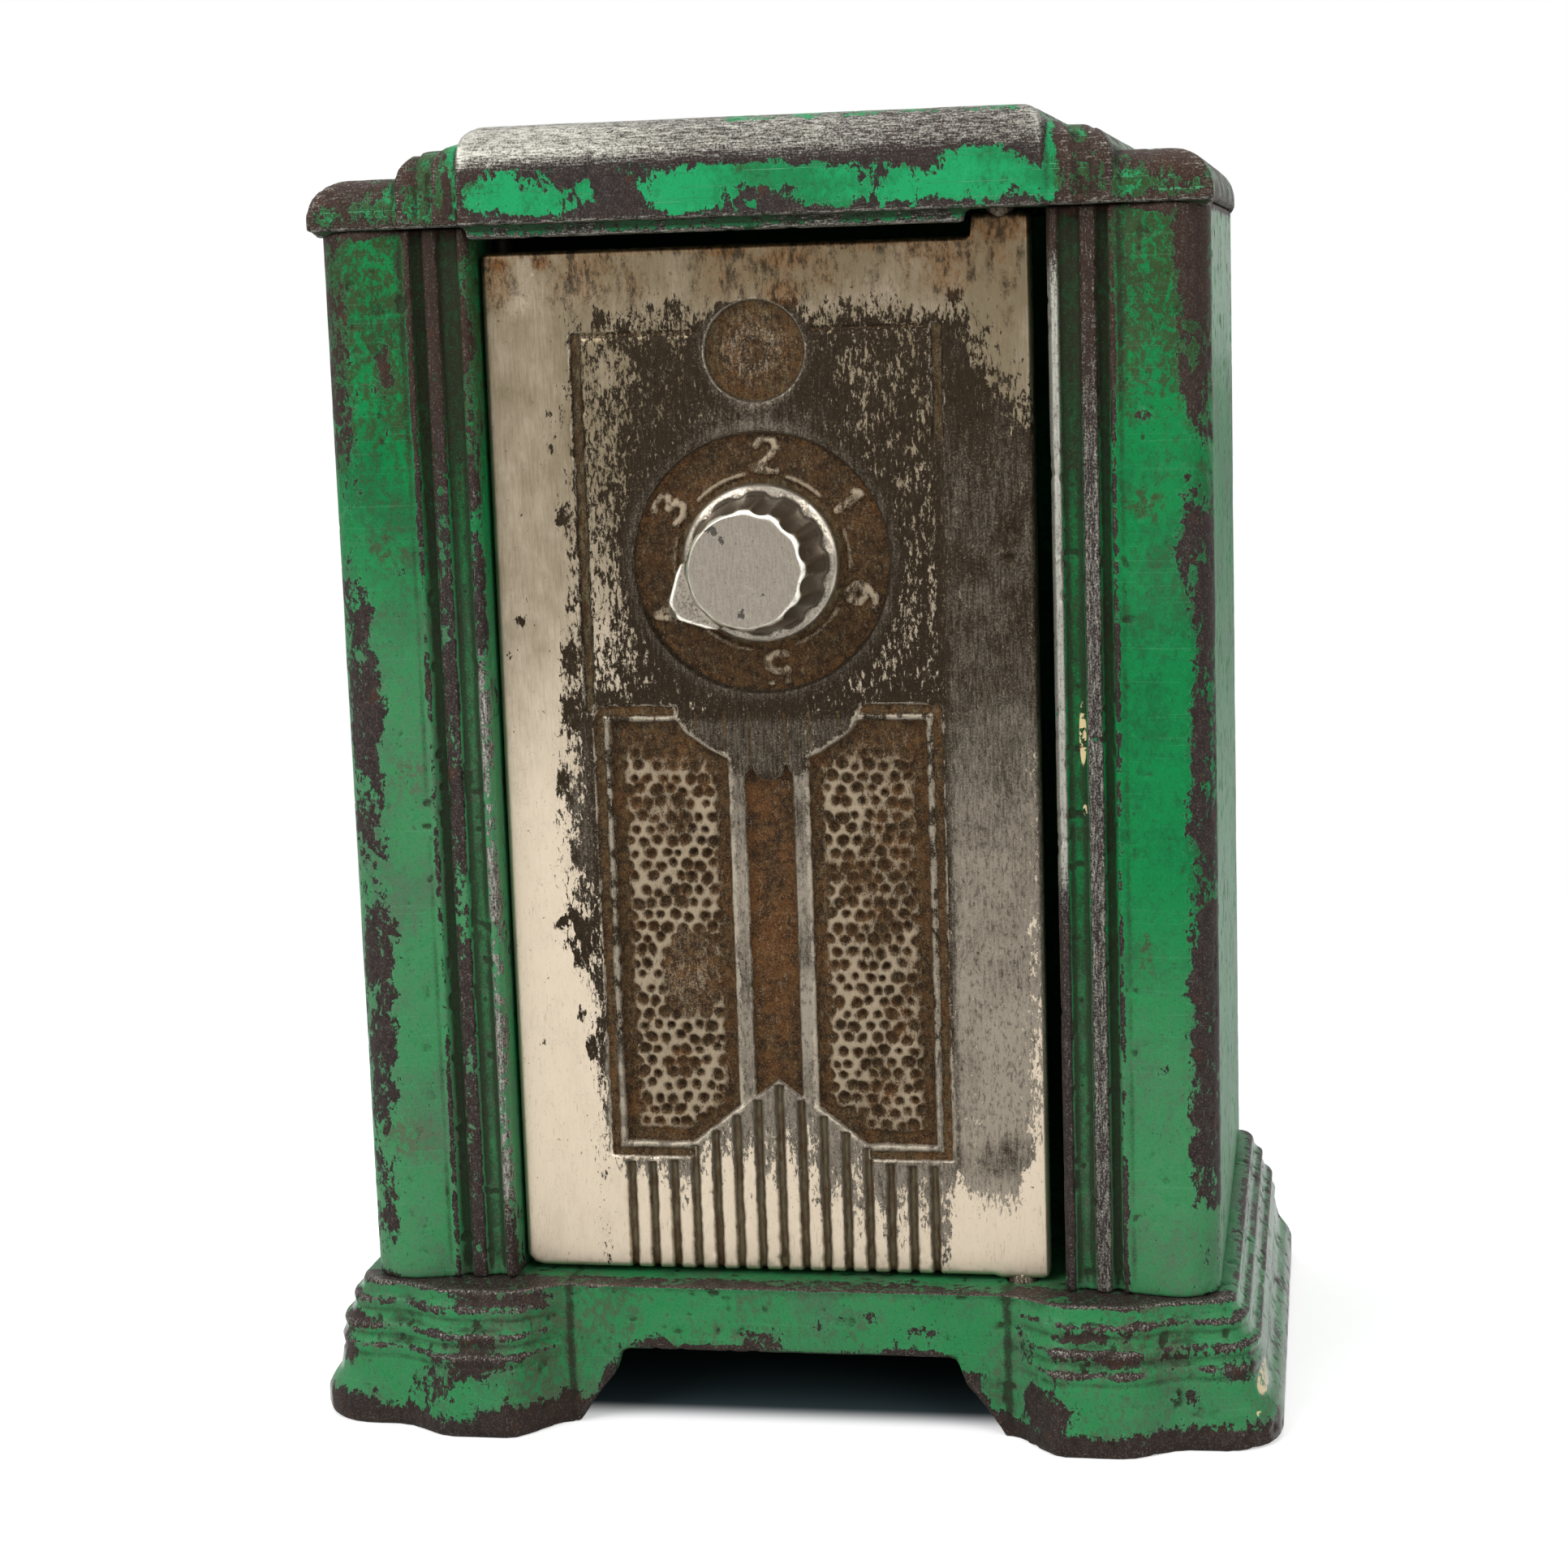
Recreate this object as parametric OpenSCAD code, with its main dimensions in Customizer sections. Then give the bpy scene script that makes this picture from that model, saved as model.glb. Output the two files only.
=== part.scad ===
// Toy coin bank cast in iron as a table radio case: a footed base, two fluted
// side castings, a stepped cap with the coin slot, a back plate and a hinged
// door that a three-wheel combination dial locks.
// The frame has +X to the right, +Y to the back and +Z up, with the origin at
// the centre of the footprint on the floor.

/* [Case] */
// Overall height from the floor to the top of the cap
overall_h = 114.3; // [108:0.1:122]
// Width across the base at the floor
base_w = 86.5; // [85:0.1:91]
// Depth from the front of the feet to the back of the base
base_d = 60; // [58:0.1:66]
// Width across the two side castings
case_w = 76; // [74.4:0.1:76.6]
// Distance from the foot fronts back to the face of the door
foot_proj = 8; // [7.4:0.1:8.6]
// Ledge of the base left free behind the case
rear_ledge = 2; // [1.6:0.1:3]
// Wall thickness of the side castings
wall_t = 3; // [2.6:0.1:3.3]

/* [Base] */
// Height of the base up to the deck
base_h = 13; // [12:0.1:14]
// Thickness of the deck
deck_t = 3; // [2.6:0.1:3.4]
// Wall thickness of the skirt, measured in from the widest line
skirt_t = 5.5; // [5:0.1:6]
// Wall thickness at the front and back of the base
apron_t = 2.8; // [2.4:0.1:3.2]
// Draw-in of the side mouldings from the floor up to the deck
skirt_draw = 4.3; // [4:0.1:4.6]
// Draw-in of the foot fronts from the floor up to the deck
toe_draw = 2.1; // [1.7:0.1:2.4]
// Set-back of the outer part of a foot behind its inner bulge
toe_step = 2.6; // [2:0.1:3]
// Set-back of the apron behind the inner bulge of the feet
apron_set = 4.8; // [4.2:0.1:5.2]
// Width of a foot, measured in from the widest line
foot_w = 23.8; // [23:0.1:24.6]
// Plan radius of the front corners of the feet
foot_r = 5; // [4.6:0.1:5.4]
// Plan radius of the back corners of the base
heel_r = 3; // [2.5:0.1:3.5]
// Height of the arch between the feet
arch_h = 7; // [6:0.1:7.6]
// Half width of the arch at its top
arch_x = 14.6; // [13:0.1:15.4]
// Run of the shaped brackets from the arch top to the floor
bracket_run = 4.6; // [4:0.1:5]

/* [Side castings] */
// Distance that the flutes stand before the face of the door
flute_proj = 2.5; // [2.2:0.1:2.9]
// Half width of the doorway
jamb_x = 24.6; // [24.5:0.05:25]
// Thickness of the jamb behind the innermost flute
jamb_t = 3; // [2.6:0.1:3.2]
// Depth of the grooves between the flutes
groove_d = 0.9; // [0.6:0.05:1.1]
// Crown of the broad outer face over the flutes
face_crown = 0.7; // [0.4:0.05:0.9]
// Plan radius of the front outer corners
corner_r = 3.4; // [3:0.1:3.8]
// Width of the rear flanges that hold the back plate
flange_w = 3.2; // [2.8:0.1:4]
// Height of the tongues that locate the side castings
tongue_h = 1; // [0.7:0.05:1.2]

/* [Cap] */
// Height of the cap over the side castings
cap_h = 8.3; // [7.8:0.1:8.8]
// Overhang of the cap past the side castings at each side
cap_over = 0.4; // [0.2:0.05:0.8]
// Distance that the middle of the cap stands before the face of the door
cap_proj = 5; // [4.6:0.1:5.4]
// Half width of the raised middle block
crown_x = 24.6; // [24:0.1:25]
// Half width of the first step
step1_x = 26.9; // [26.4:0.1:27.4]
// Half width of the second step
step2_x = 30.3; // [29.8:0.1:30.8]
// Drop of the first step below the top
step1_drop = 1.3; // [1:0.1:1.5]
// Drop of the second step below the top
step2_drop = 1.8; // [1.6:0.1:2.1]
// Drop of the wings below the top
wing_drop = 4; // [3.6:0.1:4.2]
// Set-back of each step's front behind the one inside it
step_set = 0.45; // [0.3:0.05:0.6]
// Length of the coin slot
slot_l = 28; // [26:0.1:30]
// Width of the coin slot
slot_w = 3.2; // [2.8:0.1:3.6]
// Thickness of the cap over the hollow
cap_roof = 3.4; // [3:0.1:3.8]
// Height of the lip that hangs over the doorway
lip_h = 1.1; // [0.9:0.05:1.2]

/* [Door] */
// Width of the door
door_w = 47.3; // [46.9:0.05:47.5]
// Offset of the door from the middle of the case
door_off = -0.6; // [-0.65:0.05:-0.3]
// Thickness of the door plate
door_t = 2.6; // [2.4:0.1:2.8]
// Gap between the door and the deck
door_gap_z = 0.5; // [0.4:0.05:0.8]
// Gap between the door and the tops of the side castings
door_top_gap = 2.2; // [1.8:0.05:2.6]
// Distance of the hinge line from the right edge of the door
hinge_in = 2.5; // [2.4:0.05:2.7]
// Radius of the hinge pintles
pintle_r = 1.25; // [1.1:0.05:1.4]
// Length of the hinge pintles past the door's ears
pintle_l = 3; // [2.6:0.1:3.2]
// Running clearance of the pintles in their holes
pintle_clr = 0.08; // [0.05:0.01:0.1]
// Width of the ears that carry the pintles
ear_w = 4.8; // [4.6:0.1:5]
// Gap between the ears and the castings above and below
ear_gap = 0.3; // [0.25:0.05:0.4]
// Depth of the recessed fields in the door
field_d = 0.9; // [0.6:0.05:1]
// Depth of the thin engraved lines in the door
line_d = 0.4; // [0.3:0.05:0.5]

/* [Door pattern] */
// Distance of the dial's centre below the top of the door
dial_drop = 27; // [26:0.1:28]
// Radius of the dial recess
dial_r = 11.2; // [11:0.05:11.6]
// Radius of the thin ring inside the dial
ring_r = 7.45; // [7.35:0.05:7.9]
// Distance of the round recess below the top of the door
medal_drop = 9; // [8.5:0.1:9.5]
// Radius of the round recess
medal_r = 4.3; // [4:0.05:4.6]
// Half width of the panel frame on the door
frame_x = 15.6; // [15.3:0.05:15.9]
// Distance of the panel frame below the top of the door
frame_drop = 7.1; // [6.6:0.1:7.6]
// Height of the ribbed foot of the door at its outer ends
rib_h = 9.8; // [9:0.1:10.6]
// Rise of the ribbed foot from its ends to its middle
rib_rise = 7.2; // [6.4:0.1:7.6]
// Number of upright grooves in the ribbed foot
rib_n = 15; // [13:2:15]
// Pitch of the upright grooves
rib_pitch = 1.95; // [1.85:0.01:2]
// Width of each upright groove
rib_w = 0.9; // [0.7:0.05:1]

/* [Dial] */
// Height of the knob over the face of the door
knob_h = 7.6; // [7:0.1:7.9]
// Radius of the knob's skirt
skirt_r = 6.85; // [6.7:0.05:7]
// Thickness of the knob's skirt
skirt_h = 1.3; // [1.1:0.1:1.5]
// Radius of the fluted grip where it meets the skirt
grip_r = 6.1; // [5.9:0.05:6.2]
// Radius of the knob's front face
knob_top_r = 5.25; // [5:0.05:5.5]
// Number of flutes round the knob
flute_n = 12; // [10:2:14]
// Reach of the pointer's tip from the centre
pointer_r = 8.9; // [8.6:0.1:9.2]
// Angle of the pointer when the gates line up, up from the right
pointer_a = 208; // [200:1:216]
// Radius of the spindle
spindle_r = 2; // [1.9:0.05:2.1]
// Running clearance of the spindle and of the wheels
run_clr = 0.05; // [0.03:0.01:0.08]

/* [Lock] */
// Radius of the wheels
wheel_r = 13; // [12.6:0.1:13.4]
// Thickness of the two tumbler wheels
wheel_t = 1.2; // [1:0.05:1.3]
// Thickness of the driving wheel
drive_t = 1.4; // [1.2:0.05:1.6]
// Width of the gate in each wheel
gate_w = 5.5; // [5.3:0.1:6]
// Depth of the gate in each wheel
gate_d = 5; // [4.9:0.05:5.2]
// Height of the locking lug
lug_h = 4; // [3.6:0.1:4.2]
// Thickness of the locking lug
lug_t = 2; // [1.8:0.05:2.1]
// Overlap of the lug's tip past the rim of the wheels
lug_lap = 2.2; // [1.8:0.05:2.3]
// Gap between the lug and the door or the wheels
lug_gap = 0.4; // [0.35:0.05:0.5]
// Radius of the sleeve that the wheels turn on
sleeve_r = 3.5; // [3.3:0.05:3.6]
// Radius of the sleeve's shoulder
shoulder_r = 5; // [4.8:0.1:5.3]
// Thickness of the spacers between the wheels
spacer_t = 0.8; // [0.7:0.05:0.9]
// Radius of the spacers
spacer_r = 5.4; // [5.2:0.05:5.6]
// Gap at each face of a turning wheel
face_gap = 0.1; // [0.06:0.02:0.14]
// Radius of the pick-up pegs
peg_r = 0.8; // [0.7:0.05:0.85]
// Distance of the pick-up pegs from the spindle
peg_at = 6.9; // [6.8:0.05:7]
// Thickness of the friction spring
spring_t = 0.45; // [0.35:0.05:0.5]
// Radius of the friction spring
spring_r = 4.4; // [4.2:0.05:4.5]

/* [Fasteners] */
// Distance of the tie screws from the middle of the case
screw_x = 29.2; // [28.8:0.05:29.4]
// Radius of the tie screws
screw_r = 1.6; // [1.4:0.05:1.7]
// Radius of the screw heads
head_r = 3.2; // [2.9:0.1:3.4]
// Height of the screw heads
head_h = 2.2; // [1.9:0.1:2.5]
// Depth that the tie screws reach into the cap
screw_in = 3.8; // [3.2:0.1:4]
// Width across the flats of the spindle's square nut
nut_w = 6; // [5.6:0.1:6.4]
// Thickness of the spindle's square nut
nut_t = 2; // [1.8:0.1:2.4]

/* [Hidden] */
eps = 0.02;
green = "seagreen";
nickel = "silver";
steel = "slategray";
iron = "dimgray";

half_w = base_w/2;
back_y = base_d/2;
toe_y = base_d/2;
face_y = -base_d/2 + foot_proj;
case_back = back_y - rear_ledge;
side_x = case_w/2;
side_in = side_x - wall_t;
side_top = overall_h - cap_h;
flute_y = face_y - flute_proj;
fit_clr = 0.1;

door_x = door_off;
door_back = face_y + door_t;
door_bot = base_h + door_gap_z;
door_top = side_top - door_top_gap;
hinge_x = door_x + door_w/2 - hinge_in;
hinge_y = face_y + door_t/2;
dial_z = door_top - dial_drop;
dial_floor = face_y + line_d*2;
screw_y = (face_y + case_back)/2;

lug_y0 = door_back + lug_gap;
shoulder_y = lug_y0 + lug_t + lug_gap;
front_y0 = shoulder_y + face_gap;
spacer1_y = front_y0 + wheel_t + face_gap;
rear_y0 = spacer1_y + spacer_t + face_gap;
spacer2_y = rear_y0 + wheel_t + face_gap;
sleeve_end = spacer2_y + spacer_t;
drive_y0 = sleeve_end + face_gap;
nut_y = drive_y0 + drive_t;
peg_gap = 0.2;
peg_l = face_gap + spacer_t + face_gap - peg_gap;
// angle between two pegs that bear on each other, with a little play
peg_step = 2*asin(peg_r/peg_at) + 2.5;
tail_r = spindle_r*0.75;
knob_y = dial_floor - fit_clr;
lug_tip = door_x - wheel_r + lug_lap;

function smooth(t) = t <= 0 ? 0 : t >= 1 ? 1 : t*t*(3 - 2*t);
function reversed(v) = [for (i = [len(v) - 1:-1:0]) v[i]];
function mirrored(v) = [for (p = v) [-p[0], p[1]]];
function arc(c, r, a0, a1, n) =
    [for (i = [0:n]) let (a = a0 + (a1 - a0)*i/n) c + r*[cos(a), sin(a)]];

// Front edge of the base at distance x from the middle: the apron, the rounded
// inner bulge of the foot and its set-back outer part.
bulge_run = 5.2;
step_run = 5.4;
toe_x1 = half_w - foot_w;
toe_x2 = toe_x1 + bulge_run;
toe_x4 = half_w - foot_r - heel_r;
toe_x3 = toe_x4 - step_run;
function front_edge(x, tuck, apron_in) =
    let (a = toe_y - apron_set - apron_in, b = toe_y - tuck)
    a + (b - a)*smooth((x - toe_x1)/(toe_x2 - toe_x1))
      - (toe_step - tuck*0.3)*smooth((x - toe_x3)/(toe_x4 - toe_x3));
front_xs = concat(
    [for (i = [0:6]) toe_x1 + (toe_x2 - toe_x1)*i/6],
    [for (i = [0:5]) toe_x3 + (toe_x4 - toe_x3)*i/5]);
// Half of the footprint, from the middle of the front round to the back: draw
// is the side draw-in, tuck the one at the front and back.
function half_plan(draw, tuck, apron_in) =
    let (cx = half_w - foot_r - 0.6*draw, rx = foot_r - 0.4*draw,
         cy = -(toe_y - toe_step - foot_r), ry = foot_r - 0.7*tuck,
         hx = half_w - heel_r - 0.6*draw, hr = heel_r - 0.4*draw,
         hy = back_y - heel_r, hry = heel_r - 0.7*tuck)
    concat([for (x = front_xs) [x, -front_edge(x, tuck, apron_in)]],
        [for (a = [0:18:90]) [cx + rx*sin(a), cy - ry*cos(a)]],
        [for (a = [0:22.5:90]) [hx + hr*cos(a), hy + hry*sin(a)]]);
function full_plan(draw, tuck, apron_in) =
    let (h = half_plan(draw, tuck, apron_in)) concat(h, reversed(mirrored(h)));

// Moulding of the base up to the deck: height and the shares of the draw-in that
// are reached there at the sides and at the front and back, with three ridges
// under the deck. It starts under the floor, where it is cut off.
skirt_steps = [[-0.1, 0.1, 0.1], [0, 0.1, 0.1], [0.04, 0, 0], [0.19, 0, 0],
    [0.25, 0.1, 0.04], [0.33, 0.29, 0.1], [0.43, 0.36, 0.14], [0.525, 0.39, 0.13],
    [0.56, 0.4, 0.17], [0.585, 0.42, 0.38], [0.64, 0.43, 0.39], [0.68, 0.43, 0.36],
    [0.7, 0.47, 0.43], [0.725, 0.6, 0.65], [0.79, 0.64, 0.67], [0.84, 0.65, 0.63],
    [0.865, 0.68, 0.68], [0.89, 0.83, 0.9], [0.95, 0.87, 0.93], [0.98, 0.9, 0.95],
    [1, 1, 1]];

apron_lean = 0.4;
module moulded_skirt() {
    rings = [for (s = skirt_steps)
        full_plan(s[1]*skirt_draw, s[2]*toe_draw, -s[1]*apron_lean)];
    n = len(rings[0]);
    m = len(skirt_steps);
    polyhedron(
        points = [for (j = [0:m - 1]) for (p = rings[j])
            [p[0], p[1], skirt_steps[j][0]*base_h]],
        faces = concat(
            [for (j = [0:m - 2]) for (i = [0:n - 1]) let (k = (i + 1)%n)
                [j*n + i, (j + 1)*n + i, (j + 1)*n + k]],
            [for (j = [0:m - 2]) for (i = [0:n - 1]) let (k = (i + 1)%n)
                [j*n + i, (j + 1)*n + k, j*n + k]],
            [[for (i = [0:n - 1]) i]],
            [[for (i = [n - 1:-1:0]) (m - 1)*n + i]]),
        convexity = 8);
}

// Arch between the feet, with a shaped bracket at each end, given in shares of
// its run and of the arch's height
bracket_shape = [[0, 1], [0.13, 0.93], [0.26, 0.66], [0.58, 0.41], [0.8, 0.2],
    [1, 0], [1, -0.15]];
module arch_outline() {
    right = [for (q = bracket_shape) [arch_x + bracket_run*q[0], arch_h*q[1]]];
    polygon(concat(right, reversed(mirrored(right))));
}

module along_y(y0, y1) {
    translate([0, y1, 0]) rotate([90, 0, 0]) linear_extrude(y1 - y0) children();
}

module rod_y(r, y0, y1) {
    translate([0, y0, 0]) rotate([-90, 0, 0]) cylinder(r = r, h = y1 - y0, $fn = 64);
}

module at_screws() {
    for (s = [-1, 1]) translate([s*screw_x, screw_y, 0]) children();
}

tongue_l = 30;
tongue_land = 0.8;
// Tongue in the middle of a side wall, grown by its clearance where it is cut
module tongue(s, z, h, grow) {
    w = wall_t - 2*tongue_land + 2*grow;
    translate([s*(side_x - wall_t/2) - w/2, screw_y - tongue_l/2 - grow, z])
        cube([w, tongue_l + 2*grow, h]);
}

module base() {
    color(green) difference() {
        moulded_skirt();
        translate([-base_w, -base_d, -base_h]) cube([2*base_w, 2*base_d, base_h]);
        for (s = [-1, 1])
            tongue(s, base_h - tongue_h - fit_clr, tongue_h + 1, fit_clr);
        translate([0, 0, -1]) linear_extrude(base_h - deck_t + 1)
            polygon(full_plan(skirt_t, apron_t + 0.8, apron_t - 0.8));
        along_y(-base_d, base_d) arch_outline();
        at_screws() cylinder(r = screw_r + fit_clr, h = base_h*2, $fn = 48);
        translate([hinge_x, hinge_y, base_h - pintle_l - ear_gap])
            cylinder(r = pintle_r + pintle_clr, h = base_h, $fn = 48);
    }
}

// Plan of one side casting: jamb, three flutes, broad crowned face, wall and
// the rear flange with the slot of the back plate
ridge_w = 0.8;
band_w = 1.7;
ridge2_w = 1.4;
cove_w = 1;
flute_r = 0.35;
slot_y = case_back - 1.3;
plate_t = 2.1;
slot_x = side_in - 0.6;
slot_land = 2;
lug_root = 3;
function side_plan() =
    let (g = flute_y + groove_d, f = flute_y,
         x1 = jamb_x + 0.2, x2 = x1 + ridge_w, x3 = x2 + band_w,
         x4 = x3 + ridge2_w, x5 = x4 + cove_w, x6 = x5 + ridge_w*0.75,
         top = f - face_crown, cx = side_x - corner_r)
    concat([[jamb_x, shoulder_y + 0.6], [jamb_x, f + flute_r*1.6]],
        arc([x1 + flute_r, f + flute_r], flute_r, 180, 270, 4),
        arc([x2 - flute_r, f + flute_r], flute_r, 270, 360, 4),
        [[x2 + 0.1, g], [x2 + 0.5, g + 0.1], [x3 - 0.1, g]],
        arc([x3 + flute_r, f + flute_r], flute_r, 180, 270, 4),
        arc([x4 - flute_r, f + flute_r], flute_r, 270, 360, 4),
        [[x4 + 0.1, g], [(x4 + x5)/2, g + 0.15], [x5 - 0.1, g - 0.2]],
        arc([(x5 + x6)/2, f + 0.05], (x6 - x5)/2, 180, 360, 6),
        [for (i = [0:6]) let (t = i/6)
            [x6 + 0.15 + (cx - x6 - 0.15)*t, f + 0.1 - (face_crown + 0.1)*sin(90*t)]],
        arc([cx, top + corner_r], corner_r, -75, 0, 6),
        [[side_x, case_back], [side_in - flange_w, case_back],
         [side_in - flange_w, slot_y], [slot_x, slot_y],
         [slot_x, slot_y - plate_t - 2*fit_clr],
         [side_in - flange_w, slot_y - plate_t - 2*fit_clr],
         [side_in - flange_w, slot_y - plate_t - slot_land],
         [side_in, slot_y - plate_t - slot_land],
         [side_in, f + wall_t + 1], [side_in - 1, f + wall_t + 0.4],
         [jamb_x + jamb_t, f + wall_t + 0.4],
         [jamb_x + jamb_t, shoulder_y + 0.6]]);

module side_casting() {
    translate([0, 0, base_h]) linear_extrude(side_top - base_h)
        polygon(side_plan());
    tongue(1, base_h - tongue_h, side_top - base_h + 2*tongue_h, 0);
}

module right_side() {
    color(green) side_casting();
}

// The left casting carries the lug that stands behind the door and before
// the wheels, so the door opens only when the gates pass over it.
module left_side() {
    color(green) {
        mirror([1, 0, 0]) side_casting();
        translate([-jamb_x - jamb_t/2, lug_y0, dial_z - lug_h/2])
            cube([lug_tip + jamb_x + jamb_t/2, lug_t, lug_h]);
        translate([-jamb_x - jamb_t/2, lug_y0, dial_z - lug_h])
            cube([jamb_t/2 + lug_root, lug_t, lug_h*2]);
    }
}

module back_plate() {
    color(green)
        translate([-(slot_x - fit_clr), slot_y - fit_clr - plate_t, base_h])
            cube([2*(slot_x - fit_clr), plate_t, side_top - base_h]);
}

// Bar of the cap: width 2*hw, top at z, front at y, with rounded upper edges
module cap_bar(hw, z, y, rx, ry) {
    intersection() {
        along_y(y, case_back) {
            translate([-hw, side_top]) square([2*hw, z - side_top - rx]);
            translate([-hw + rx, side_top]) square([2*(hw - rx), z - side_top]);
            for (s = [-1, 1])
                translate([s*(hw - rx), z - rx]) circle(r = rx, $fn = 64);
        }
        translate([-hw, 0, 0]) rotate([90, 0, 90]) linear_extrude(2*hw) {
            translate([y, side_top]) square([case_back - y, z - side_top - ry]);
            translate([y + ry, side_top])
                square([case_back - y - 2*ry, z - side_top]);
            for (e = [y + ry, case_back - ry])
                translate([e, z - ry]) circle(r = ry, $fn = 64);
        }
    }
}

cap_y = face_y - cap_proj;
crown_r = 3.6;
crown_end_r = 1.8;
step1_end_r = 2;
step_r = 2.8;
wing_r = 3.4;
screw_hole = 1.2;
lip_t = 1.8;
hollow_x = crown_x - 2;
hollow_y = hinge_y + pintle_r + 3;
lip_x = hinge_x - ear_w/2 - 0.25;
module cap() {
    color(green) difference() {
        union() {
            cap_bar(crown_x, overall_h, cap_y, crown_end_r, crown_r);
            cap_bar(step1_x, overall_h - step1_drop, cap_y + step_set, step1_end_r,
                crown_r - 0.4);
            cap_bar(step2_x, overall_h - step2_drop, cap_y + 2*step_set, step_r,
                crown_r - 0.6);
            cap_bar(side_x + cap_over, overall_h - wing_drop, cap_y + 3*step_set,
                wing_r, wing_r - 1);
            translate([-jamb_x + fit_clr, flute_y - lip_t/2, side_top - lip_h])
                cube([lip_x + jamb_x - fit_clr, lip_t, lip_h + 1]);
        }
        for (s = [-1, 1]) tongue(s, side_top - 1, tongue_h + fit_clr + 1, fit_clr);
        translate([-hollow_x, hollow_y, side_top - 1])
            cube([2*hollow_x, case_back - 4 - hollow_y,
                cap_h + 1 - cap_roof]);
        translate([-slot_l/2, -slot_w/2, side_top])
            cube([slot_l, slot_w, cap_h*2]);
        at_screws() translate([0, 0, side_top - 1])
            cylinder(r = screw_r, h = screw_in + screw_hole, $fn = 48);
        translate([hinge_x, hinge_y, side_top - 1])
            cylinder(r = pintle_r + pintle_clr, h = pintle_l + 1.3, $fn = 48);
    }
}

// Two long screws with slotted heads that tie the base to the cap
head_slot_w = 0.9;
head_slot_d = 1;
module tie_screws() {
    color(steel) at_screws() difference() {
        union() {
            translate([0, 0, base_h - deck_t - head_h])
                cylinder(r = head_r, h = head_h, $fn = 48);
            translate([0, 0, base_h - deck_t - eps])
                cylinder(r = screw_r, h = side_top + screw_in - base_h + deck_t,
                    $fn = 48);
        }
        translate([0, 0, base_h - deck_t - head_h])
            cube([head_r*3, head_slot_w, 2*head_slot_d], center = true);
    }
}

// Field of the grille: a panel with a bevelled corner towards the crest and
// another towards the ribbed foot, on the right of the door's middle line
panel_in = 3.6;
panel_out = 13.9;
panel_top = dial_z - dial_r - 2.6;
panel_bot = door_bot + rib_h + 2;
bevel_x = 4.3;
bevel_z = 3.3;
panel_pts = [[panel_in, panel_bot + bevel_z], [panel_in + bevel_x, panel_bot],
    [panel_out, panel_bot], [panel_out, panel_top], [panel_in + bevel_x, panel_top],
    [panel_in, panel_top - bevel_z]];

// Groove along the outer side and both ends of a panel, past a narrow land
border_land = 0.45;
border_w = 0.95;
border_out = panel_out + border_land + border_w;
border_top = panel_top + border_land + border_w;
border_bot = panel_bot - border_land - border_w;
module panel_border() {
    difference() {
        translate([panel_in + bevel_x, border_bot])
            square([border_out - panel_in - bevel_x, border_top - border_bot]);
        translate([0, panel_bot - border_land])
            square([panel_out + border_land, panel_top - panel_bot + 2*border_land]);
    }
}

// Top of a groove of the ribbed foot at distance x from the middle
rib_run = 10;
function rib_top(x) = door_bot + rib_h + rib_rise*max(0, 1 - abs(x)/rib_run);
module rib_grooves() {
    for (i = [0:rib_n - 1]) {
        x = (i - (rib_n - 1)/2)*rib_pitch;
        translate([x - rib_w/2, door_bot - 1])
            square([rib_w, rib_top(x) - door_bot + 1]);
    }
}

// Crest over the middle strip: fingers parted by fine lines. The middle three
// end in round lobes that hang over the channel and the strips beside it.
lobe_z = panel_top - bevel_z - 0.5;
lobe_r = 1.4;
side_lobe_x = 2.65;
side_lobe_r = 0.95;
finger_line = 0.3;
fingers = [[1.55, lobe_z], [3.75, lobe_z + 1.3], [6.3, panel_top - 0.6]];
module crest_lobes() {
    translate([0, lobe_z]) circle(r = lobe_r, $fn = 48);
    for (s = [-1, 1])
        translate([s*side_lobe_x, lobe_z]) circle(r = side_lobe_r, $fn = 48);
}
module crest_lines() {
    for (s = [-1, 1], f = fingers)
        translate([s*f[0] - finger_line/2, f[1]])
            square([finger_line, border_top - 0.4 - f[1]]);
}

// Sunk channel between the panels and the low strips beside it
channel_x = 2.1;
channel_foot = 0.5;
module channel() {
    difference() {
        polygon([[-channel_x, lobe_z], [-channel_x, rib_top(channel_x) + channel_foot],
            [0, rib_top(0) + channel_foot],
            [channel_x, rib_top(channel_x) + channel_foot], [channel_x, lobe_z]]);
        crest_lobes();
    }
}
module low_strips() {
    difference() {
        for (s = [-1, 1])
            polygon([[s*channel_x, rib_top(channel_x) + channel_foot],
                [s*(panel_in - eps), rib_top(panel_in) + channel_foot],
                [s*(panel_in - eps), lobe_z], [s*channel_x, lobe_z]]);
        crest_lobes();
    }
}

// Everything that is sunk deep into the face of the door, drawn in its plane
module deep_fields() {
    for (s = [-1, 1]) polygon([for (q = panel_pts) [s*q[0], q[1]]]);
    channel();
}

frame_top = door_top - frame_drop;
frame_w = 0.85;
line_w = 0.35;
medal_margin = 0.6;
module engraved_lines() {
    for (s = [-1, 1]) {
        translate([s*frame_x - frame_w/2, border_top - border_w/2])
            square([frame_w, frame_top - border_top + border_w/2]);
        x0 = s > 0 ? medal_r + medal_margin : -frame_x;
        translate([x0, frame_top - line_w])
            square([frame_x - medal_r - medal_margin, line_w]);
    }
    panel_border();
    mirror([1, 0]) panel_border();
}

module door_cut(depth) {
    translate([door_x, 0, 0]) along_y(face_y - 1, face_y + depth) children();
}

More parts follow.
